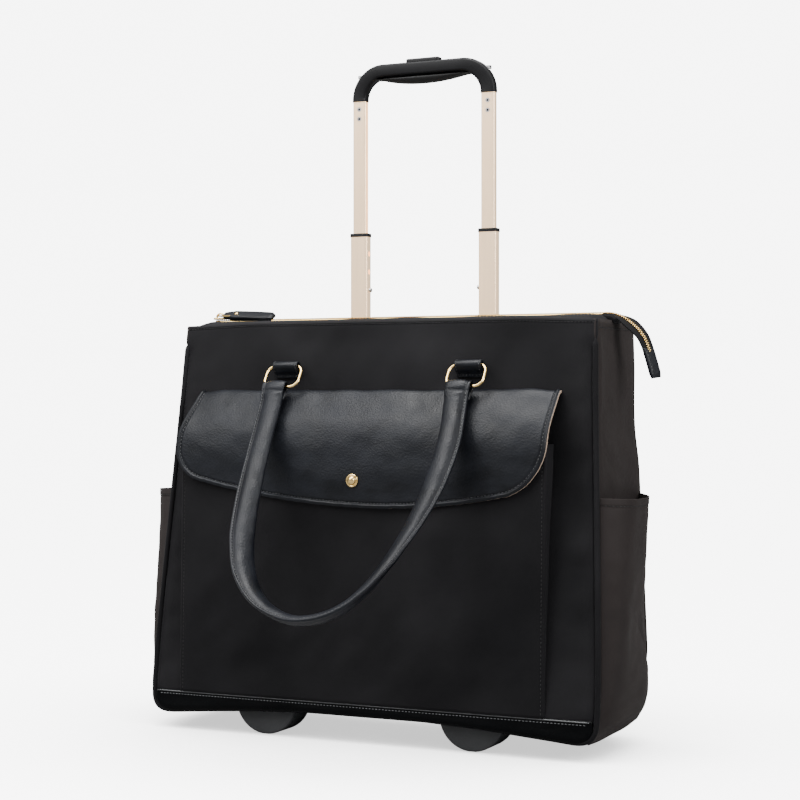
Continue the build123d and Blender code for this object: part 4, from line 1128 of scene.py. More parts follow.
def build_flap():
    """The leather flap, sewn to the bag at its top, with a rolled and stitched edge."""
    profile = resampled(smooth_path([(0, y, z) for y, z in FLAP_LINE], 10), pitch=0.5)
    step = sum((b - a).length for a, b in zip(profile, profile[1:])) / (len(profile) - 1)

    def on_line(s):
        k = min(int(s / step), len(profile) - 2)
        a, b = profile[k], profile[k + 1]
        t = (b - a).normalized()
        return a.lerp(b, s / step - k), Vector((0, t.z, -t.y))

    def reach(z):
        return next((i * step for i, p in enumerate(profile) if p.z <= z), (len(profile) - 1) * step)

    left, right = flap_sides(80)
    width = right - left
    columns = [e / width for e in EDGE_STEPS] + spaced(110, 15 / width, 1 - 15 / width)
    columns += [1 - e / width for e in reversed(EDGE_STEPS)]
    ends = [reach(flap_low(left + width * u)) for u in columns]
    flat = []
    for k in range(46):
        flat.append([(u, (end - 13) * k / 45) for u, end in zip(columns, ends)])
    for e in reversed(EDGE_STEPS):
        flat.append([(u, end - e) for u, end in zip(columns, ends)])
    spread = [
        [(flap_sides(s)[0] + (flap_sides(s)[1] - flap_sides(s)[0]) * u, s) for u, s in row] for row in flat
    ]
    outline = [row[0] for row in spread] + spread[-1][1:-1] + [row[-1] for row in reversed(spread)]
    edge = np.array([tuple(p)[:2] for p in resampled([(x, s, 0) for x, s in outline], pitch=0.4)])

    def place(x, s, lift=0.0):
        d = float(np.min(np.hypot(edge[:, 0] - x, edge[:, 1] - s)))
        p, n = on_line(s)
        bead = 1.2 * max(0.0, 1 - ((d - 2.4) / 1.6) ** 2)
        groove = -0.9 * max(0.0, 1 - ((d - FLAP_STITCH) / 1.1) ** 2)
        puff = 1.3 * ramp(5, 34, d)
        folds = (
            1.7 * ripple(x, s, 0, 58, 81) + 0.9 * ripple(
                x, s * 1.2, 0, 27, 83
            ) + 0.25 * ripple(x, s, 0, 10, 87)
        ) * ramp(5, 24, d)
        wave = (0.6 * sin(x / 38 + 0.6) + 0.3 * sin(x / 17)) * ramp(50, 110, s)
        sag = 0.9 * (
            ripple(x, 0, 0, 70, 89) + 0.5 * ripple(x, 0, 0, 25, 85)
        ) * (1 - ramp(2, 26, s)) * ramp(0, 4, s)
        return Vector((x, p.y, p.z)) + n * (bead + groove + puff + folds + wave + sag + lift), n

    rows = [[place(x, s)[0] for x, s in row] for row in spread]
    obj = sheet_mesh("flap_leather", rows, [LEATHER, EDGE], None, (0, -1, 0.3), slot="leather")
    surface = surface_tree(obj)
    shell(obj, 2.3, inner=0, rim=1)
    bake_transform(obj)
    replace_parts(obj, "pocket_flap", "flap_shoulder")

    route = resampled([(x, s, 0) for x, s in outline], pitch=1.5)
    line, normals = [], []
    for i in range(3, len(route) - 3):
        t = (route[i + 3] - route[i - 3]).normalized()
        x, s = route[i].x - t.y * -FLAP_STITCH, route[i].y + t.x * -FLAP_STITCH
        q, n = place(x, max(s, 0.5), 0.12)
        line.append(q)
        normals.append(n)
    thread = leather_seam("flap_stitching", line, normals, None, 3.3, 2.5, 0.85)
    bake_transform(thread)
    return surface


def surface_tree(obj):
    """A ray-cast tree of a mesh, in the frame's metres."""
    mesh = obj.data
    return BVHTree.FromPolygons(
        [obj.matrix_world @ v.co for v in mesh.vertices], [list(p.vertices) for p in mesh.polygons]
    )


def build_stud(surface):
    """A plain domed stud on a washer."""
    hit, _, _, _ = surface.ray_cast(point(POCKET_X, -190, STUD_Z), Vector((0, 1, 0)))
    at = Vector((POCKET_X, hit.y * 1000 - ORIGIN_Y, STUD_Z))
    profile = [
        (0.02, 4.4), (1.2, 4.3), (2.4, 3.8), (3.3, 3.1), (3.9, 2.2), (4.2, 1.4), (4.4, 1.1),
        (4.7, 1.15), (5.2, 1.5),
        (5.7, 1.4), (6.1, 0.9), (6.2, 0.2), (6.2, -1.2),
    ]
    rows = [[at + Vector((r * c, -h, r * s)) for c, s in circle(40)] for r, h in profile]
    stud = sheet_mesh("flap_dome_stud", rows, GOLD, "flap", (0, -1, 0), close=True, slot="gold_metal")
    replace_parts(stud, "flap_stud")


# ---------------------------------------------------------------- side pockets


SIDE_LOW_Z = 14.0


def seam_x(z):
    """Where the front seam runs at a height, with its rounded lower corner."""
    return CORNER_X + (seam_half(z) - 2.0 - CORNER_X) * corner_reach((CORNER_Z - z) / (CORNER_R + 4))


def side_pocket_path(sign, z):
    """The pocket's line at one height, from its front seam round to its back seam."""
    if sign > 0:
        rear_out = linear_value([
            (14, 216), (18, 225), (24, 231.5), (34, 237), (48, 240.4), (62, 240.6), (78, 239),
            (97, 236.2), (107, 234),
            (125, 236), (165, 240), (228, 243.2),
        ], z)
        front_out = linear_value(
            [(14, 207), (20, 220), (30, 231), (45, 237), (70, 241), (120, 244), (228, 246.5)], z
        )
    else:
        rear_out = linear_value([(14, 216), (20, 227), (34, 236), (60, 240), (120, 240), (228, 243)], z)
        front_out = linear_value([
            (14, 208), (20, 222), (30, 233), (42, 239), (67, 240), (110, 243), (186, 244.5), (228, 247.8),
        ], z)
    rear_y = linear_value([(14, -72), (17, -50), (24, -29), (36, -13), (48, -8)], z)
    seam = seam_x(z)
    pts = [
        (seam - 1.5 * (1 - ramp(14, 24, z)), front_y(z) + 5.4 + 6 * (1 - ramp(14, 24, z))),
        (max(front_out, seam + 1), front_y(z) + 17 + 14 * (1 - ramp(14, 50, z))),
        (max(rear_out, seam + 1), min(-46.0, rear_y - 16)),
        (min(seam_half(z) - 2.0, rear_out - 1.5) - 6 * (1 - ramp(14, 40, z)), rear_y),
    ]
    line = rounded_corners([(a, b, 0) for a, b in pts], [20, 26], 10)
    return resampled(line, 60)


def build_side_pockets():
    for sign, tag in ((1, "right"), (-1, "left")):
        heights = [
            228.4, 227.6, 226, 224, 222.6, 221.8, 221, 219.5
        ] + spaced(76, 216, 30) + spaced(12, 28.5, SIDE_LOW_Z)
        rows = []
        for z in heights:
            path = side_pocket_path(sign, z)
            row = []
            for k, p in enumerate(path):
                u = k / 60
                hem = 0.45 * ramp(221.2, 222.4, z) - 0.3 * max(0.0, 1 - abs(z - 221.6) / 1.2)
                a = path[max(k - 1, 0)]
                b = path[min(k + 1, 60)]
                t = (b - a).normalized()
                n = Vector((-t.y, t.x, 0))
                if n.x < 0:
                    n = -n
                free = ramp(0, 0.1, min(u, 1 - u))
                folds = 1.5 * ripple(
                    u * 90, 0, z * 0.55, 34, 91 + sign
                ) + 0.7 * ripple(u * 90, 0, z, 15, 93 + sign)
                crease = 0.0
                if sign > 0:
                    across = (z - 106) * 0.83 + (u - 0.66) * 90
                    crease = -2.4 * max(
                        0.0, 1 - abs(across) / 7
                    ) * ramp(0.42, 0.6, u) * (1 - ramp(0.86, 0.98, u))
                calm = ramp(0, 26, 228 - z) * ramp(20, 60, z)
                rim_sag = -1.6 * sin(pi * u) * ramp(150, 228, z)
                out = hem + (folds * 0.9 + crease) * free * calm
                row.append((sign * (p.x + n.x * out), p.y + n.y * out, z + rim_sag))
            rows.append(row)
        obj = sheet_mesh(
            f"side_pocket_nylon_{tag}", rows, [NYLON_SIDE, LINING], "case", (sign, 0, 0), slot="nylon"
        )
        shell(obj, 1.3, inner=0)
        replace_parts(obj, f"side_pocket_{tag}")
        line, normals = [], []
        hem_row = [Vector(p) for p in rows[5]]
        for k in range(2, 59):
            t = (hem_row[k + 1] - hem_row[k - 1]).normalized()
            n = Vector((t.y, -t.x, 0))
            if n.x * sign < 0:
                n = -n
            line.append(hem_row[k] + n * 0.1)
            normals.append(n)
        nylon_seam(f"side_pocket_stitching_{tag}", line, normals)


# ---------------------------------------------------------------- zipped top


def leaf_line(is_front):
    """The hinge line and the teeth line of a leaf, as (y, z)."""
    if is_front:
        return (-104.5, 387.0), (ZIP_Y - 2.6, 393.4)
    return (-26.0, 387.4), (ZIP_Y + 2.6, 393.4)


def build_top():
    for is_front, end_name in ((True, "front"), (False, "rear")):
        body, leaf, teeth = f"{end_name}_leaf", f"zip_leaf_{end_name}", f"zip_teeth_{end_name}"
        (y0, z0), (y1, z1) = leaf_line(is_front)
        fractions = [-1, -0.994, -0.985, -0.972] + spaced(90, -0.955, 0.955) + [0.972, 0.985, 0.994, 1]
        rows = []
        for t in [0, 0.04, 0.1] + spaced(14, 0.17, 0.8) + [0.84, 0.88, 0.94, 1]:
            row = []
            for u in fractions:
                x = u * (ZIP_HALF + 1.5)
                end = 1 - ramp(0, 9, (ZIP_HALF + 1.5) * (1 - abs(u)))
                arch = 2.0 * sin(pi * min(t / 0.84, 1.0)) * (1 - end)
                step = -0.7 * ramp(0.82, 0.86, t)
                folds = 0.8 * ripple(x, t * 40, 0, 34, 101 + is_front) * sin(pi * t)
                z = z0 + (z1 - z0) * t + arch + step + folds - 3.6 * end * end
                row.append((x, y0 + (y1 - y0) * t, z))
            rows.append(row)
        lined(f"{leaf}_nylon", rows, NYLON, (0, 0, 1), 1.4, leaf, body)
        edge = 0.80  # where the tape is sewn on, as a share of the way to the teeth
        line = [(x, y0 + (y1 - y0) * edge, z0 + (z1 - z0) * edge + 1.2) for x in spaced(220, -203, 203)]
        nylon_seam(f"{leaf}_stitching", line, (0, 0, 1), body)
        build_coil(teeth, body, is_front)


def build_coil(node, body, is_front):
    """One side of a metallic coil zip: a row of small interlocking teeth on a cord."""
    toward = -1 if is_front else 1
    verts, faces = [], []
    pitch = 2.2
    count = int(2 * ZIP_HALF / pitch)
    shift = 0.0 if is_front else pitch / 2
    for i in range(count):
        x = -ZIP_HALF + pitch * (i + 0.5) + shift - pitch / 4
        base = len(verts)
        box = []
        y_in, y_out = ZIP_Y - toward * 0.5, ZIP_Y + toward * 2.5
        for yy, half, z_low, z_high in (
            (y_in, 0.62, 392.2, 394.6), ((y_in + y_out) / 2, 0.5, 391.9, 395.0), (y_out, 0.5, 392.1, 394.7)
        ):
            box += [
                (x - half, yy, z_low), (x + half, yy, z_low), (x + half, yy, z_high), (x - half, yy, z_high)
            ]
        verts += box
        for q in (0, 4):
            for j in range(4):
                faces.append(
                    [base + q + j, base + q + (j + 1) % 4, base + q + 4 + (j + 1) % 4, base + q + 4 + j]
                )
        faces.append([base, base + 3, base + 2, base + 1])
        faces.append([base + 8, base + 9, base + 10, base + 11])
    row = finish_mesh(f"{node}_row", verts, faces, GOLD, body, slot="gold_metal")
    outward_faces(row)
    bevel = row.modifiers.new("bevel", "BEVEL")
    bevel.width = 0.00022
    bevel.segments = 2
    applied(row)
    y = ZIP_Y + toward * 2.2
    cord = swept(
        f"{node}_cord", [
            (x, y, 393.0) for x in spaced(60, -ZIP_HALF, ZIP_HALF)
        ], ring_section(0.9, 8), GOLD, body, slot="gold_metal"
    )
    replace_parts(joined(f"{node}_coil", [row, cord]), node)


def build_slider():
    """The slider, and a leather pull with its stitching and rivet."""
    x, y = SLIDER_X, ZIP_Y
    softened("zip_slider", "slider_body", GOLD, 0.35, 4, slot="gold_metal")
    # a leather pull sewn round its ring, leaning on the zip so that its face looks forward
    pivot = 398.85
    lean = radians(31)
    up = Vector((0, -sin(lean), cos(lean)))
    path = [
        (
            x + 5.0, y, pivot + 0.2
        ), (x + 10, y, pivot + 0.4), (x + 18, y, pivot + 0.3), (x + 28, y, pivot - 0.1),
        (x + 40, y, pivot - 0.7), (x + 52, y, pivot - 1.4), (x + 61, y, pivot - 1.9),
    ]
    line = resampled(smooth_path(path, 8), 40)
    widths = [
        curve_value([(0, 0.62), (4, 0.8), (9, 1.0), (34, 1.0), (38, 0.9), (40, 0.6)], i) for i in range(41)
    ]
    strip = swept(
        "zip_pull_leather", line, rounded_section(13.2, 4.8, 1.5, 3), LEATHER, "pull", up=up, slot="leather",
        scale=lambda i: (widths[i], 0.6 if i > 38 else 1.0),
    )
    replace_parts(strip, "zip_pull")
    across = Vector((0, 1, 0)) * cos(lean) + Vector((0, 0, 1)) * sin(lean)
    for side, tag in ((-1, "near"), (1, "far")):
        run = [line[i] + across * (side * 4.9) + up * 2.45 for i in range(7, 38)]
        leather_seam(f"zip_pull_stitching_{tag}", run, up, "pull", 2.6, 1.8)
    rows = []
    c = line[10] + up * 2.4
    for r, h in ((0.02, 1.1), (1.1, 1.0), (1.9, 0.6), (2.3, 0.0), (2.3, -1.0)):
        rows.append(
            [
                c + up * h + Vector((r * cos(a), 0, 0)) + across * (r * sin(a)) for a in spaced(
                    17, 0, 2 * pi * 17 / 18
                )
            ]
        )
    sheet_mesh("zip_pull_rivet", rows, GOLD, "pull", up, close=True, slot="gold_metal")


def build_tail():
    """The loose end of the zip over the right side, with its leather end."""
    path = [
        (203, ZIP_Y, 392.9), (208, ZIP_Y, 392.6), (214, ZIP_Y, 391.2), (
            222, ZIP_Y - 1, 387.6
        ), (231, ZIP_Y - 2, 381.0),
        (238.5, ZIP_Y - 2.5, 372.8),
        (243, ZIP_Y - 3, 364), (245.6, ZIP_Y - 3, 356),
    ]
    face = radians(30)  # the tape turns its face to the front as it hangs
    line = resampled(smooth_path(path, 10), 60)
    ups = []
    for i, p in enumerate(line):
        a, b = line[max(i - 1, 0)], line[min(i + 1, 60)]
        t = (b - a).normalized()
        turned = face * ramp(4, 30, i)
        ups.append(Vector((-t.z, 0, t.x)) * cos(turned) + Vector((0, -1, 0)) * sin(turned))
    section = rounded_section(17.0, 1.5, 0.6, 2)
    tape = swept(
        "zip_tail_tape", line, section, NYLON, "case", up=ups, slot="zip_tape",
        scale=lambda i: (1.0 - 0.22 * ramp(20, 60, i), 1.0),
    )
    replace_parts(tape, "zip_tail")
    under = [
        (x, ZIP_Y, z) for x, z in ((196, 389.6), (203, 389.7), (209, 389.7), (212.5, 388.4), (215, 386.0))
    ]
    swept(
        "zip_end_nylon", resampled(smooth_path(under, 4), 12), rounded_section(21, 5.0, 1.6, 3), NYLON,
        "case", up=(0, 0, 1), slot="nylon"
    )
    verts, faces = [], []
    pitch = 1.1
    teeth = resampled(line, pitch=pitch)
    for i, p in enumerate(teeth[:-1]):
        a, b = teeth[max(i - 1, 0)], teeth[i + 1]
        t = (b - a).normalized()
        turned = face * ramp(4, 30, 60 * i / (len(teeth) - 1))
        n = Vector((-t.z, 0, t.x)) * cos(turned) + Vector((0, -1, 0)) * sin(turned)
        side = t.cross(n) * (1 if i % 2 else -1)
        c = p + n * 1.3 + side * 0.8
        base = len(verts)
        for dt, dy, dn in [(q, w, e) for q in (-0.5, 0.5) for w in (-1.5, 1.5) for e in (-0.9, 0.9)]:
            verts.append(c + t * dt + t.cross(n) * (dy * 0.8) + n * dn)
        for f in ((0, 1, 3, 2), (4, 6, 7, 5), (0, 4, 5, 1), (2, 3, 7, 6), (0, 2, 6, 4), (1, 5, 7, 3)):
            faces.append([base + v for v in f])
    row = finish_mesh("zip_tail_teeth", verts, faces, GOLD, "case", slot="gold_metal")
    outward_faces(row)
    bevel = row.modifiers.new("bevel", "BEVEL")
    bevel.width = 0.0002
    applied(row)
    end_path = [
        (244.0, ZIP_Y - 3, 361.5), (246.6, ZIP_Y - 3.2, 353), (249.6, ZIP_Y - 3.4, 343),
        (251.9, ZIP_Y - 3.5, 334.5)
    ]
    end_line = resampled(smooth_path(end_path, 8), 30)
    outward = Vector((0.95 * cos(face), -sin(face), 0.3 * cos(face)))
    ups = [outward] * 31
    edge = Vector((0.3, 0, -0.95)).cross(outward).normalized()
    tab = swept(
        "zip_tail_leather", end_line, rounded_section(12.5, 4.2, 1.7, 4), LEATHER, "case", up=ups,
        slot="leather",
        scale=lambda i: (
            1.0 - 0.12 * ramp(24, 30, i), curve_value([(0, 0.75), (4, 1.0), (26, 1.0), (30, 0.7)], i)
        ),
    )
    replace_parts(tab, "tail_tab")
    for side in (-1, 1):
        run = [p + outward * 2.2 + edge * (side * 4.4) for p in end_line[3:-3]]
        leather_seam(f"zip_tail_stitching_{side + 1}", run, outward, "case", 2.8, 2.0)


def build_top_strip():
    """The nylon strip behind the zip, cut out for the tubes."""
    rows = []
    y0, y1 = -24.8, -2.6
    xs = spaced(200, -209, 209)
    for t in spaced(12):
        y = y0 + (y1 - y0) * t
        row = []
        for x in xs:
            end = 1 - ramp(0, 8, 209 - abs(x))
            under = 1 - ramp(94, 100, abs(x))
            row.append(
                (
                    x, y,
                    385.1 + (
                        0.6 * ripple(x, y, 0, 26, 111) + 1.2 * sin(pi * t)
                    ) * (1 - under) * (1 - end) - 2.2 * end
                )
            )
        rows.append(row)

    def skip(i, j):
        x, y = (xs[j] + xs[j + 1]) / 2, y0 + (y1 - y0) * (i + 0.5) / 12
        return 56 < abs(x) < 80 and abs(y - POST_Y) < 7

    lined("top_strip_nylon", rows, NYLON_SIDE, (0, 0, 1), 1.6, "top_strip", skip=skip)


# ---------------------------------------------------------------- carry handles


def handle_frame(front):
    """Origin on the upper ring bar, direction down the hanging handle, and its outward normal."""
    if front:
        lean, y = radians(34), front_y(RING_BAR_Z) - RING_BAR_OUT
        return Vector((0, y, RING_BAR_Z)), Vector(
            (0, -sin(lean), -cos(lean))
        ), Vector((0, -cos(lean), sin(lean)))
    lean = radians(9)
    return Vector(
        (0, RING_BAR_OUT, RING_BAR_Z)
    ), Vector((0, sin(lean), -cos(lean))), Vector((0, cos(lean), sin(lean)))


def handle_route(front):
    """The strap's middle line below its loops, as (across, down) pairs."""
    if front:
        return [
            (-97, 44), (-94.5, 84), (-90.5, 130), (-86, 165), (-79, 196), (-67, 225), (-46, 250), (-20, 264),
            (4, 267), (31, 258),
            (53, 236), (72, 199), (86, 156), (93, 116), (94.5, 80), (91, 44),
        ]
    return [
        (-RING_X, 44), (-RING_X, 80), (-92, 120), (-88, 165), (-76, 206), (-56, 238), (-30, 257), (0, 264),
        (30, 257), (56, 238), (76, 206), (88, 165), (92, 120), (RING_X, 80), (RING_X, 44),
    ]


# the strap's section from its sewn lip (first) round its padded back, as (side, out)
STRAP_SECTION = [
    (12.0, 0.2), (11.7, 1.3), (10.8, 1.8), (9.5, 1.4), (8.7, 0.1), (7.8, 1.4), (5.6, 3.5),
    (2, 4.6), (-2.5, 4.7),
    (-7, 3.8),
    (-9.8, 2.3), (-11.0, 0.9), (-11.3, -0.3), (-10.8, -1.6), (-9, -3.1), (-6, -4.0), (0, -4.4), (5, -3.6),
    (7.6, -2.0),
    (10, -1.5), (11.6, -1.0),
]
LOOP_R = 4.4
STRAP_PITCH = 1.7  # between the rings of points along a strap


def build_strap(front):
    """A padded strap from ring to ring, with its loops over their lower bars."""
    body = "front_handle" if front else "rear_handle"
    origin, down, out = handle_frame(front)
    across = Vector((1, 0, 0))
    turn = -1 if front else 1
    slide = -4.0 if front else 0.0
    ends = (-RING_X + slide, RING_X + slide)

    def loop(x):
        """From behind the ring's lower bar, over it and down its front."""
        bar = origin + across * x + down * RING_FALL
        pts = [bar + down * 14 - out * 1.6, bar + down * 7 - out * 2.6]
        for k in range(9):
            a = pi * k / 8
            pts.append(bar - out * (LOOP_R * cos(a)) - down * (LOOP_R * sin(a)))
        return pts + [bar + down * 4 + out * 3.9, bar + down * 8 + out * 3.0]

    middle = [origin + across * a + down * b + out * 0.6 for a, b in handle_route(front)]
    line = resampled(smooth_path(loop(ends[0]) + middle + loop(ends[1])[::-1], 6), pitch=STRAP_PITCH)
    n = len(line) - 1
    centre = origin + down * 120
    ups = []
    for i in range(n + 1):
        s = min(i, n - i) * STRAP_PITCH
        t = (line[min(i + 1, n)] - line[max(i - 1, 0)]).normalized()
        if s < 30:
            ups.append(across.cross(t) * (turn if i < n / 2 else -turn))
            continue
        # the strap lies face out at its ends and stands on edge round the bottom,
        # as a flat band does in a hoop
        roll = radians(64) * sin(pi * ramp(0.14, 0.86, i / n)) ** 0.8
        inward = out.cross(t)
        if inward.dot(centre - line[i]) < 0:
            inward = -inward
        ups.append(out * cos(roll) + inward * sin(roll))
    section = STRAP_SECTION if front else [(-a, b) for a, b in STRAP_SECTION]

    def size(i):
        s = min(i, n - i) * STRAP_PITCH
        wide = 1.04 - 0.06 * ramp(24, 44, s) + 0.03 * ripple(s, i, 0, 30, 125)
        return wide, linear_value([(0, 0.3), (27, 0.36), (33, 0.5), (35.5, 0.16), (38, 0.8), (46, 1.0)], s)

    strap = swept(
        "front_handle_leather" if front else "rear_handle_leather", line, section, LEATHER, body,
        up=ups, slot="leather",
        scale=size,
    )
    for v in strap.data.vertices:
        p = v.co * 1000
        v.co += out * (0.0005 * ripple(p.x, p.y, p.z, 15, 121))
    frames = frames_along(line, ups)
    lip = 9.9 if front else -9.9
    run, normals = [], []
    for i in range(20, n - 19):
        _, normal, side = frames[i]
        wide, thick = size(i)
        run.append(line[i] + side * (lip * wide) + normal * (1.75 * thick))
        normals.append(normal)
    leather_seam(f"{body}_stitching", run, normals, body, 3.2, 2.4, 0.8)
    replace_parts(strap, "front_strap" if front else "rear_strap")


def build_rings():
    """Wire rings with well rounded ends, in place of the plainer ones."""
    half_wide, half_tall, corner, wire = 18.0, RING_FALL / 2, 8.5, 1.5
    for front in (True, False):
        origin, down, _ = handle_frame(front)
        rings = []
        for x in (-RING_X, RING_X):
            middle = origin + Vector((x, 0, 0)) + down * half_tall
            line = []
            for sx, sy, start in ((1, 1, 0), (-1, 1, 90), (-1, -1, 180), (1, -1, 270)):
                for k in range(13):
                    a = radians(start + 90 * k / 12)
                    u = sx * (half_wide - corner) + corner * cos(a)
                    v = sy * (half_tall - corner) + corner * sin(a)
                    line.append(middle + Vector((1, 0, 0)) * u - down * v)
            end = "front" if front else "rear"
            side = "left" if x < 0 else "right"
            rings.append(swept(
                f"ring_{end}_{side}", line, ring_section(wire, 14), GOLD, f"{end}_ring_pair",
                closed=True, slot="gold_metal",
            ))
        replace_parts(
            joined("front_ring_wires" if front else "rear_ring_wires", rings),
            "front_rings" if front else "rear_rings"
        )


def build_ring_tabs():
    """Leather loops that hold the rings: each goes over its ring bar and is sewn down below it."""
    pieces, threads = [], []
    for front in (True, False):
        origin, _, _ = handle_frame(front)
        o, up = Vector((0, -1 if front else 1, 0)), Vector((0, 0, 1))
        for x in (-RING_X, RING_X):
            panel = front_surface(x, RING_BAR_Z) if front else back_surface(x, RING_BAR_Z)
            base = Vector((x, panel, RING_BAR_Z))
            bar = Vector((x, origin.y, RING_BAR_Z))
            loop = [base - up * 10.5 + o * 0.4, base - up * 4 + o * 2.4]
            for k in range(13):
                a = radians(200 - 230 * k / 12)
                loop.append(bar + o * (3.6 * cos(a)) + up * (3.2 * sin(a)))
            loop += [
                base - up * 5.0 + o * 8.0, base - up * 7.6 + o * 5.0, base - up * 10.4 + o * 3.4,
                base - up * 11.4 + o * 3.1
            ]
            path = resampled(smooth_path(loop, 4), 60)
            turn = 1 if front else -1
            tangents = [(path[min(i + 1, 60)] - path[max(i - 1, 0)]).normalized() for i in range(61)]
            ups = [Vector((-turn, 0, 0)).cross(t) for t in tangents]
            name = f"{'front' if front else 'rear'}_{'left' if x < 0 else 'right'}"
            pieces.append(
                swept(
                    f"tab_{name}", path, rounded_section(26.5, 2.0, 0.95, 3), LEATHER, "case", up=ups,
                    slot="leather"
                )
            )
            for side in (-1, 1):
                run = [path[i] + Vector((side * 11.4, 0, 0)) + ups[i] * 1.05 for i in range(14, 59)]
                threads.append(leather_seam(f"tab_edge_{name}_{side}", run, ups[14:59], "case", 2.9, 2.0))
            run = [path[56] + Vector((w, 0, 0)) + ups[56] * 1.05 for w in spaced(20, -11, 11)]
            threads.append(leather_seam(f"tab_foot_{name}", run, ups[56], "case", 2.9, 2.0))
    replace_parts(joined("ring_tab_leather", pieces), "ring_tabs")
    joined("ring_tab_stitching", threads)


# ---------------------------------------------------------------- hard parts


def build_hard_parts():
    build_grip()
    softened("release_button", "grip_button", BLACK_PLASTIC, 0.4, 5, slot="black_plastic")
    softened("handle_bezel", "bezel_moulding", BLACK_PLASTIC, 0.6, 5, slot="black_plastic")
    softened("front_feet", "foot_mouldings", FOOT_PLASTIC, 0.8, 8, slot="black_plastic")
    divider = softened("laptop_divider", "laptop_divider_pad", LINING, 1.6, 6, slot="lining")
    # lining UVs, so that its weave shows
    layer = divider.data.uv_layers.new(name="UVMap")
    for loop in divider.data.loops:
        co = divider.data.vertices[loop.vertex_index].co
        layer.data[loop.index].uv = (co.x, co.z)
    for tag, sign in (("left", -1), ("right", 1)):
        build_tyre(tag, sign)


def build_grip():
    """The hoop of the pull handle, flush with its tubes, with a soft pad under its bar."""
    base_z, bar_z, corner = 611.8, 640.2, 27.0
    path = [Vector((-POST_X, POST_Y, z)) for z in spaced(6, base_z, bar_z - corner)]
    for k in range(1, 17):
        a = radians(90 * k / 16)
        path.append(Vector((-POST_X + corner * (1 - cos(a)), POST_Y, bar_z - corner * (1 - sin(a)))))
    path += [Vector((x, POST_Y, bar_z)) for x in spaced(24, -POST_X + corner, 0)[1:]]
    path += [Vector((-p.x, p.y, p.z)) for p in path[-2::-1]]
    marks = marks_along(path)

    def size(i):
        s = min(marks[i], marks[-1] - marks[i])
        grown = ramp(4, 52, s)
        return 1.0 - 0.14 * grown, 1.0 + 0.72 * grown

    hoop = swept(
        "grip_body", path, rounded_section(15.6, 9.8, 3.2, 5), GRIP_PLASTIC, "upper_stage",
        up=(0, -1, 0), slot="black_plastic",
        scale=size,
    )
    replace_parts(hoop, "grip_shell")
    rows = []
    pad_top = 631.8
    for u in spaced(48, -1, 1):
        deep = 7.6 * max(0.0, 1 - u * u) ** 0.8 + 0.15
        wide = 7.6 - 1.6 * u * u
        rows.append([
            (
                49 * u, POST_Y + wide * cos(a),
                pad_top + (0.2 if sin(a) > 0 else max(deep - 1.4, 0.1)) * sin(a)
            )
            for a in spaced(27, 0, 2 * pi * 27 / 28)
        ])
    pad = sheet_mesh("grip_soft_pad", rows, SOFT_GRIP, "upper_stage", None, close=True, slot="soft_grip")
    outward_faces(pad)
    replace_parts(pad, "grip_pad")
    # dark discs on the screws below the hoop: painted shade that stands for their drive holes
    screw_low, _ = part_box("grip_screws")
    front = screw_low.y * 1000 - ORIGIN_Y
    for z in (604.0, 594.5):
        for x in (-POST_X, POST_X):
            rows = [
                [(x + r * c, front - h, z + r * s) for c, s in circle(16)]
                for r, h in ((0.02, 0.12), (1.0, 0.12), (1.15, 0.0), (1.15, -0.4))
            ]
            side = "left" if x < 0 else "right"
            sheet_mesh(
                f"screw_hole_shade_{side}_{z:.0f}", rows, HOLE_SHADE, "upper_stage", (0, -1, 0), close=True,
                slot="steel"
            )


def build_tyre(tag, sign):
    """A tyre with rounded shoulders and three fine grooves."""
    profile = [(-11, 23.05), (-11, 27), (-10.4, 30), (-8.6, 31.6), (-6.2, 31.95)]
    for g in (-4.4, 0.0, 4.4):
        profile += [(g - 0.9, 31.97), (g - 0.6, 31.2), (g + 0.6, 31.2), (g + 0.9, 31.97)]
    profile += [(6.2, 31.95), (8.6, 31.6), (10.4, 30), (11, 27), (11, 23.05)]
    rows = []
    for x, r in profile:
        rows.append([
            (sign * WHEEL_X + x, WHEEL_Y + r * c, WHEEL_R + r * s) for c, s in circle(72)
        ])
    rows.append(rows[0])
    obj = sheet_mesh(f"tyre_rubber_{tag}", rows, TYRE, f"wheel_{tag}", None, close=True, slot="tyre")
    edited(obj, lambda bm: bmesh.ops.remove_doubles(bm, verts=bm.verts, dist=1e-6))
    outward_faces(obj)
    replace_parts(obj, f"tyre_{tag}")


build_front()
build_sides()
build_bottom()
build_back()
build_welts()
build_trim()
build_pocket()
flap_surface = build_flap()
build_stud(flap_surface)
build_side_pockets()
build_top()
build_top_strip()
build_slider()
build_tail()
build_ring_tabs()
build_rings()
build_strap(True)
build_strap(False)
build_hard_parts()


# ---------------------------------------------------------------- floor, light and camera

CAMERA_AT, CAMERA_LENS = (0.7404, -1.5442, 0.3146), 82.56  # metres and millimetres
CAMERA_TURN = 25  # degrees round from straight in front

FLOOR = Nodes("floor")
FLOOR.set(Roughness=0.9, Specular_IOR_Level=0.1)
FLOOR.shader.inputs["Base Color"].default_value = (0.3, 0.3, 0.3, 1)
FLOOR.shader.inputs["Emission Color"].default_value = (1, 1, 1, 1)
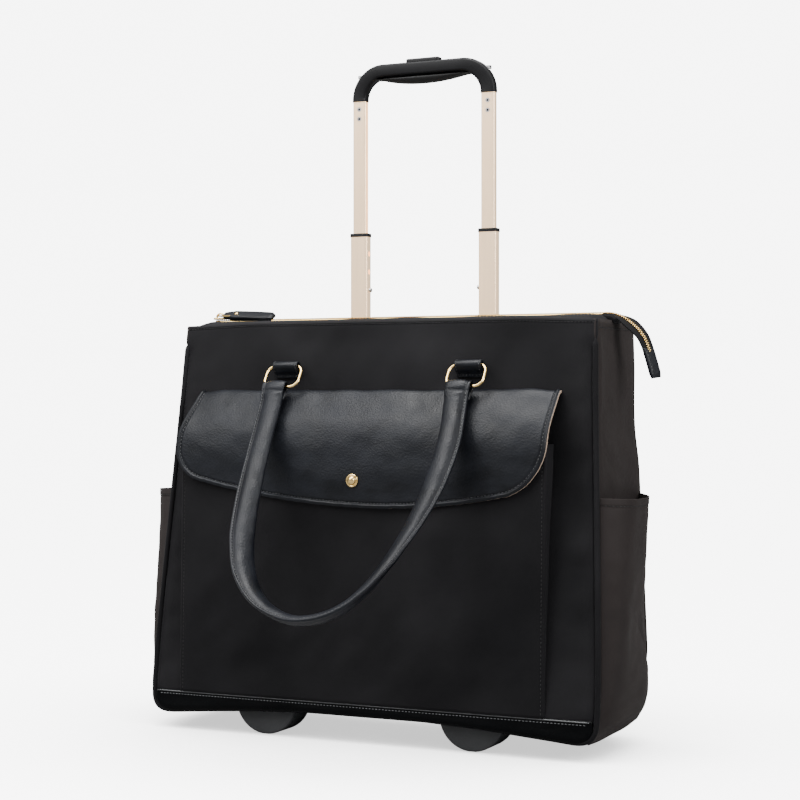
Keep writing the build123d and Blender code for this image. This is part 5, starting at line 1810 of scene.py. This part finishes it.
# the sweep looks white, and greyer where the bag stands over it: a painted shadow from the ambient occlusion
# under the bag, in an emission that only the camera sees, so it does not light the bag from below
painted_shadow_ao = FLOOR.new("ShaderNodeAmbientOcclusion")
painted_shadow_ao.inputs["Distance"].default_value = 0.32
painted_shadow_ao.samples = 8
FLOOR.link(
    FLOOR.maths(
        "MULTIPLY",
        FLOOR.new("ShaderNodeLightPath").outputs["Is Camera Ray"],
        FLOOR.between(painted_shadow_ao.outputs["AO"], 1.0, 7.0, 0.25, 0.98),
    ),
    FLOOR.shader.inputs["Emission Strength"],
)


def build_studio():
    """A pale floor that curves up into a backdrop, soft lights and the camera."""
    rows = []
    for y, z in [
        (-6, 0), (-3, 0), (0, 0), (2.2, 0), (3.4, 0.12), (4.2, 0.5), (4.7, 1.2), (4.9, 2.4), (5, 6)
    ]:
        rows.append([(x, y, z - 0.0002) for x in spaced(8, -7, 7)])
    verts = [p for row in rows for p in row]
    m = len(rows[0])
    faces = [
        [
            i * m + j, i * m + j + 1, (i + 1) * m + j + 1, (i + 1) * m + j
        ] for i in range(len(rows) - 1) for j in range(m - 1)
    ]
    mesh = bpy.data.meshes.new("studio_floor")
    mesh.from_pydata(verts, [], faces)
    mesh.materials.append(FLOOR.material)
    for p in mesh.polygons:
        p.use_smooth = True
    floor = placed("studio_floor", mesh)

    world = bpy.data.worlds.new("studio")
    bpy.context.scene.world = world
    world.use_nodes = True
    background = next(n for n in world.node_tree.nodes if n.type == "BACKGROUND")
    background.inputs["Color"].default_value = (1, 1, 1, 1)
    background.inputs["Strength"].default_value = 0.62

    def area(name, at, aim, size, power):
        light = bpy.data.lights.new(name, "AREA")
        light.shape = "RECTANGLE"
        light.size = size
        light.size_y = size
        light.energy = power
        obj = placed(name, light)
        obj.location = at
        obj.rotation_euler = (Vector(aim) - Vector(at)).to_track_quat("-Z", "Y").to_euler()

    area("key", (-1.3, -1.6, 2.1), (0, 0, 0.25), 1.6, 68)
    area("fill", (2.4, -0.9, 1.5), (0, 0, 0.3), 1.3, 62)
    area("top", (-0.1, -0.35, 2.2), (0, 0, 0.3), 1.3, 75)

    lens = bpy.data.cameras.new("camera")
    lens.sensor_width = 36
    lens.lens = CAMERA_LENS
    camera = placed("camera", lens)
    camera.location = CAMERA_AT
    camera.rotation_euler = (radians(90), 0, radians(CAMERA_TURN))
    bpy.context.scene.camera = camera


build_studio()
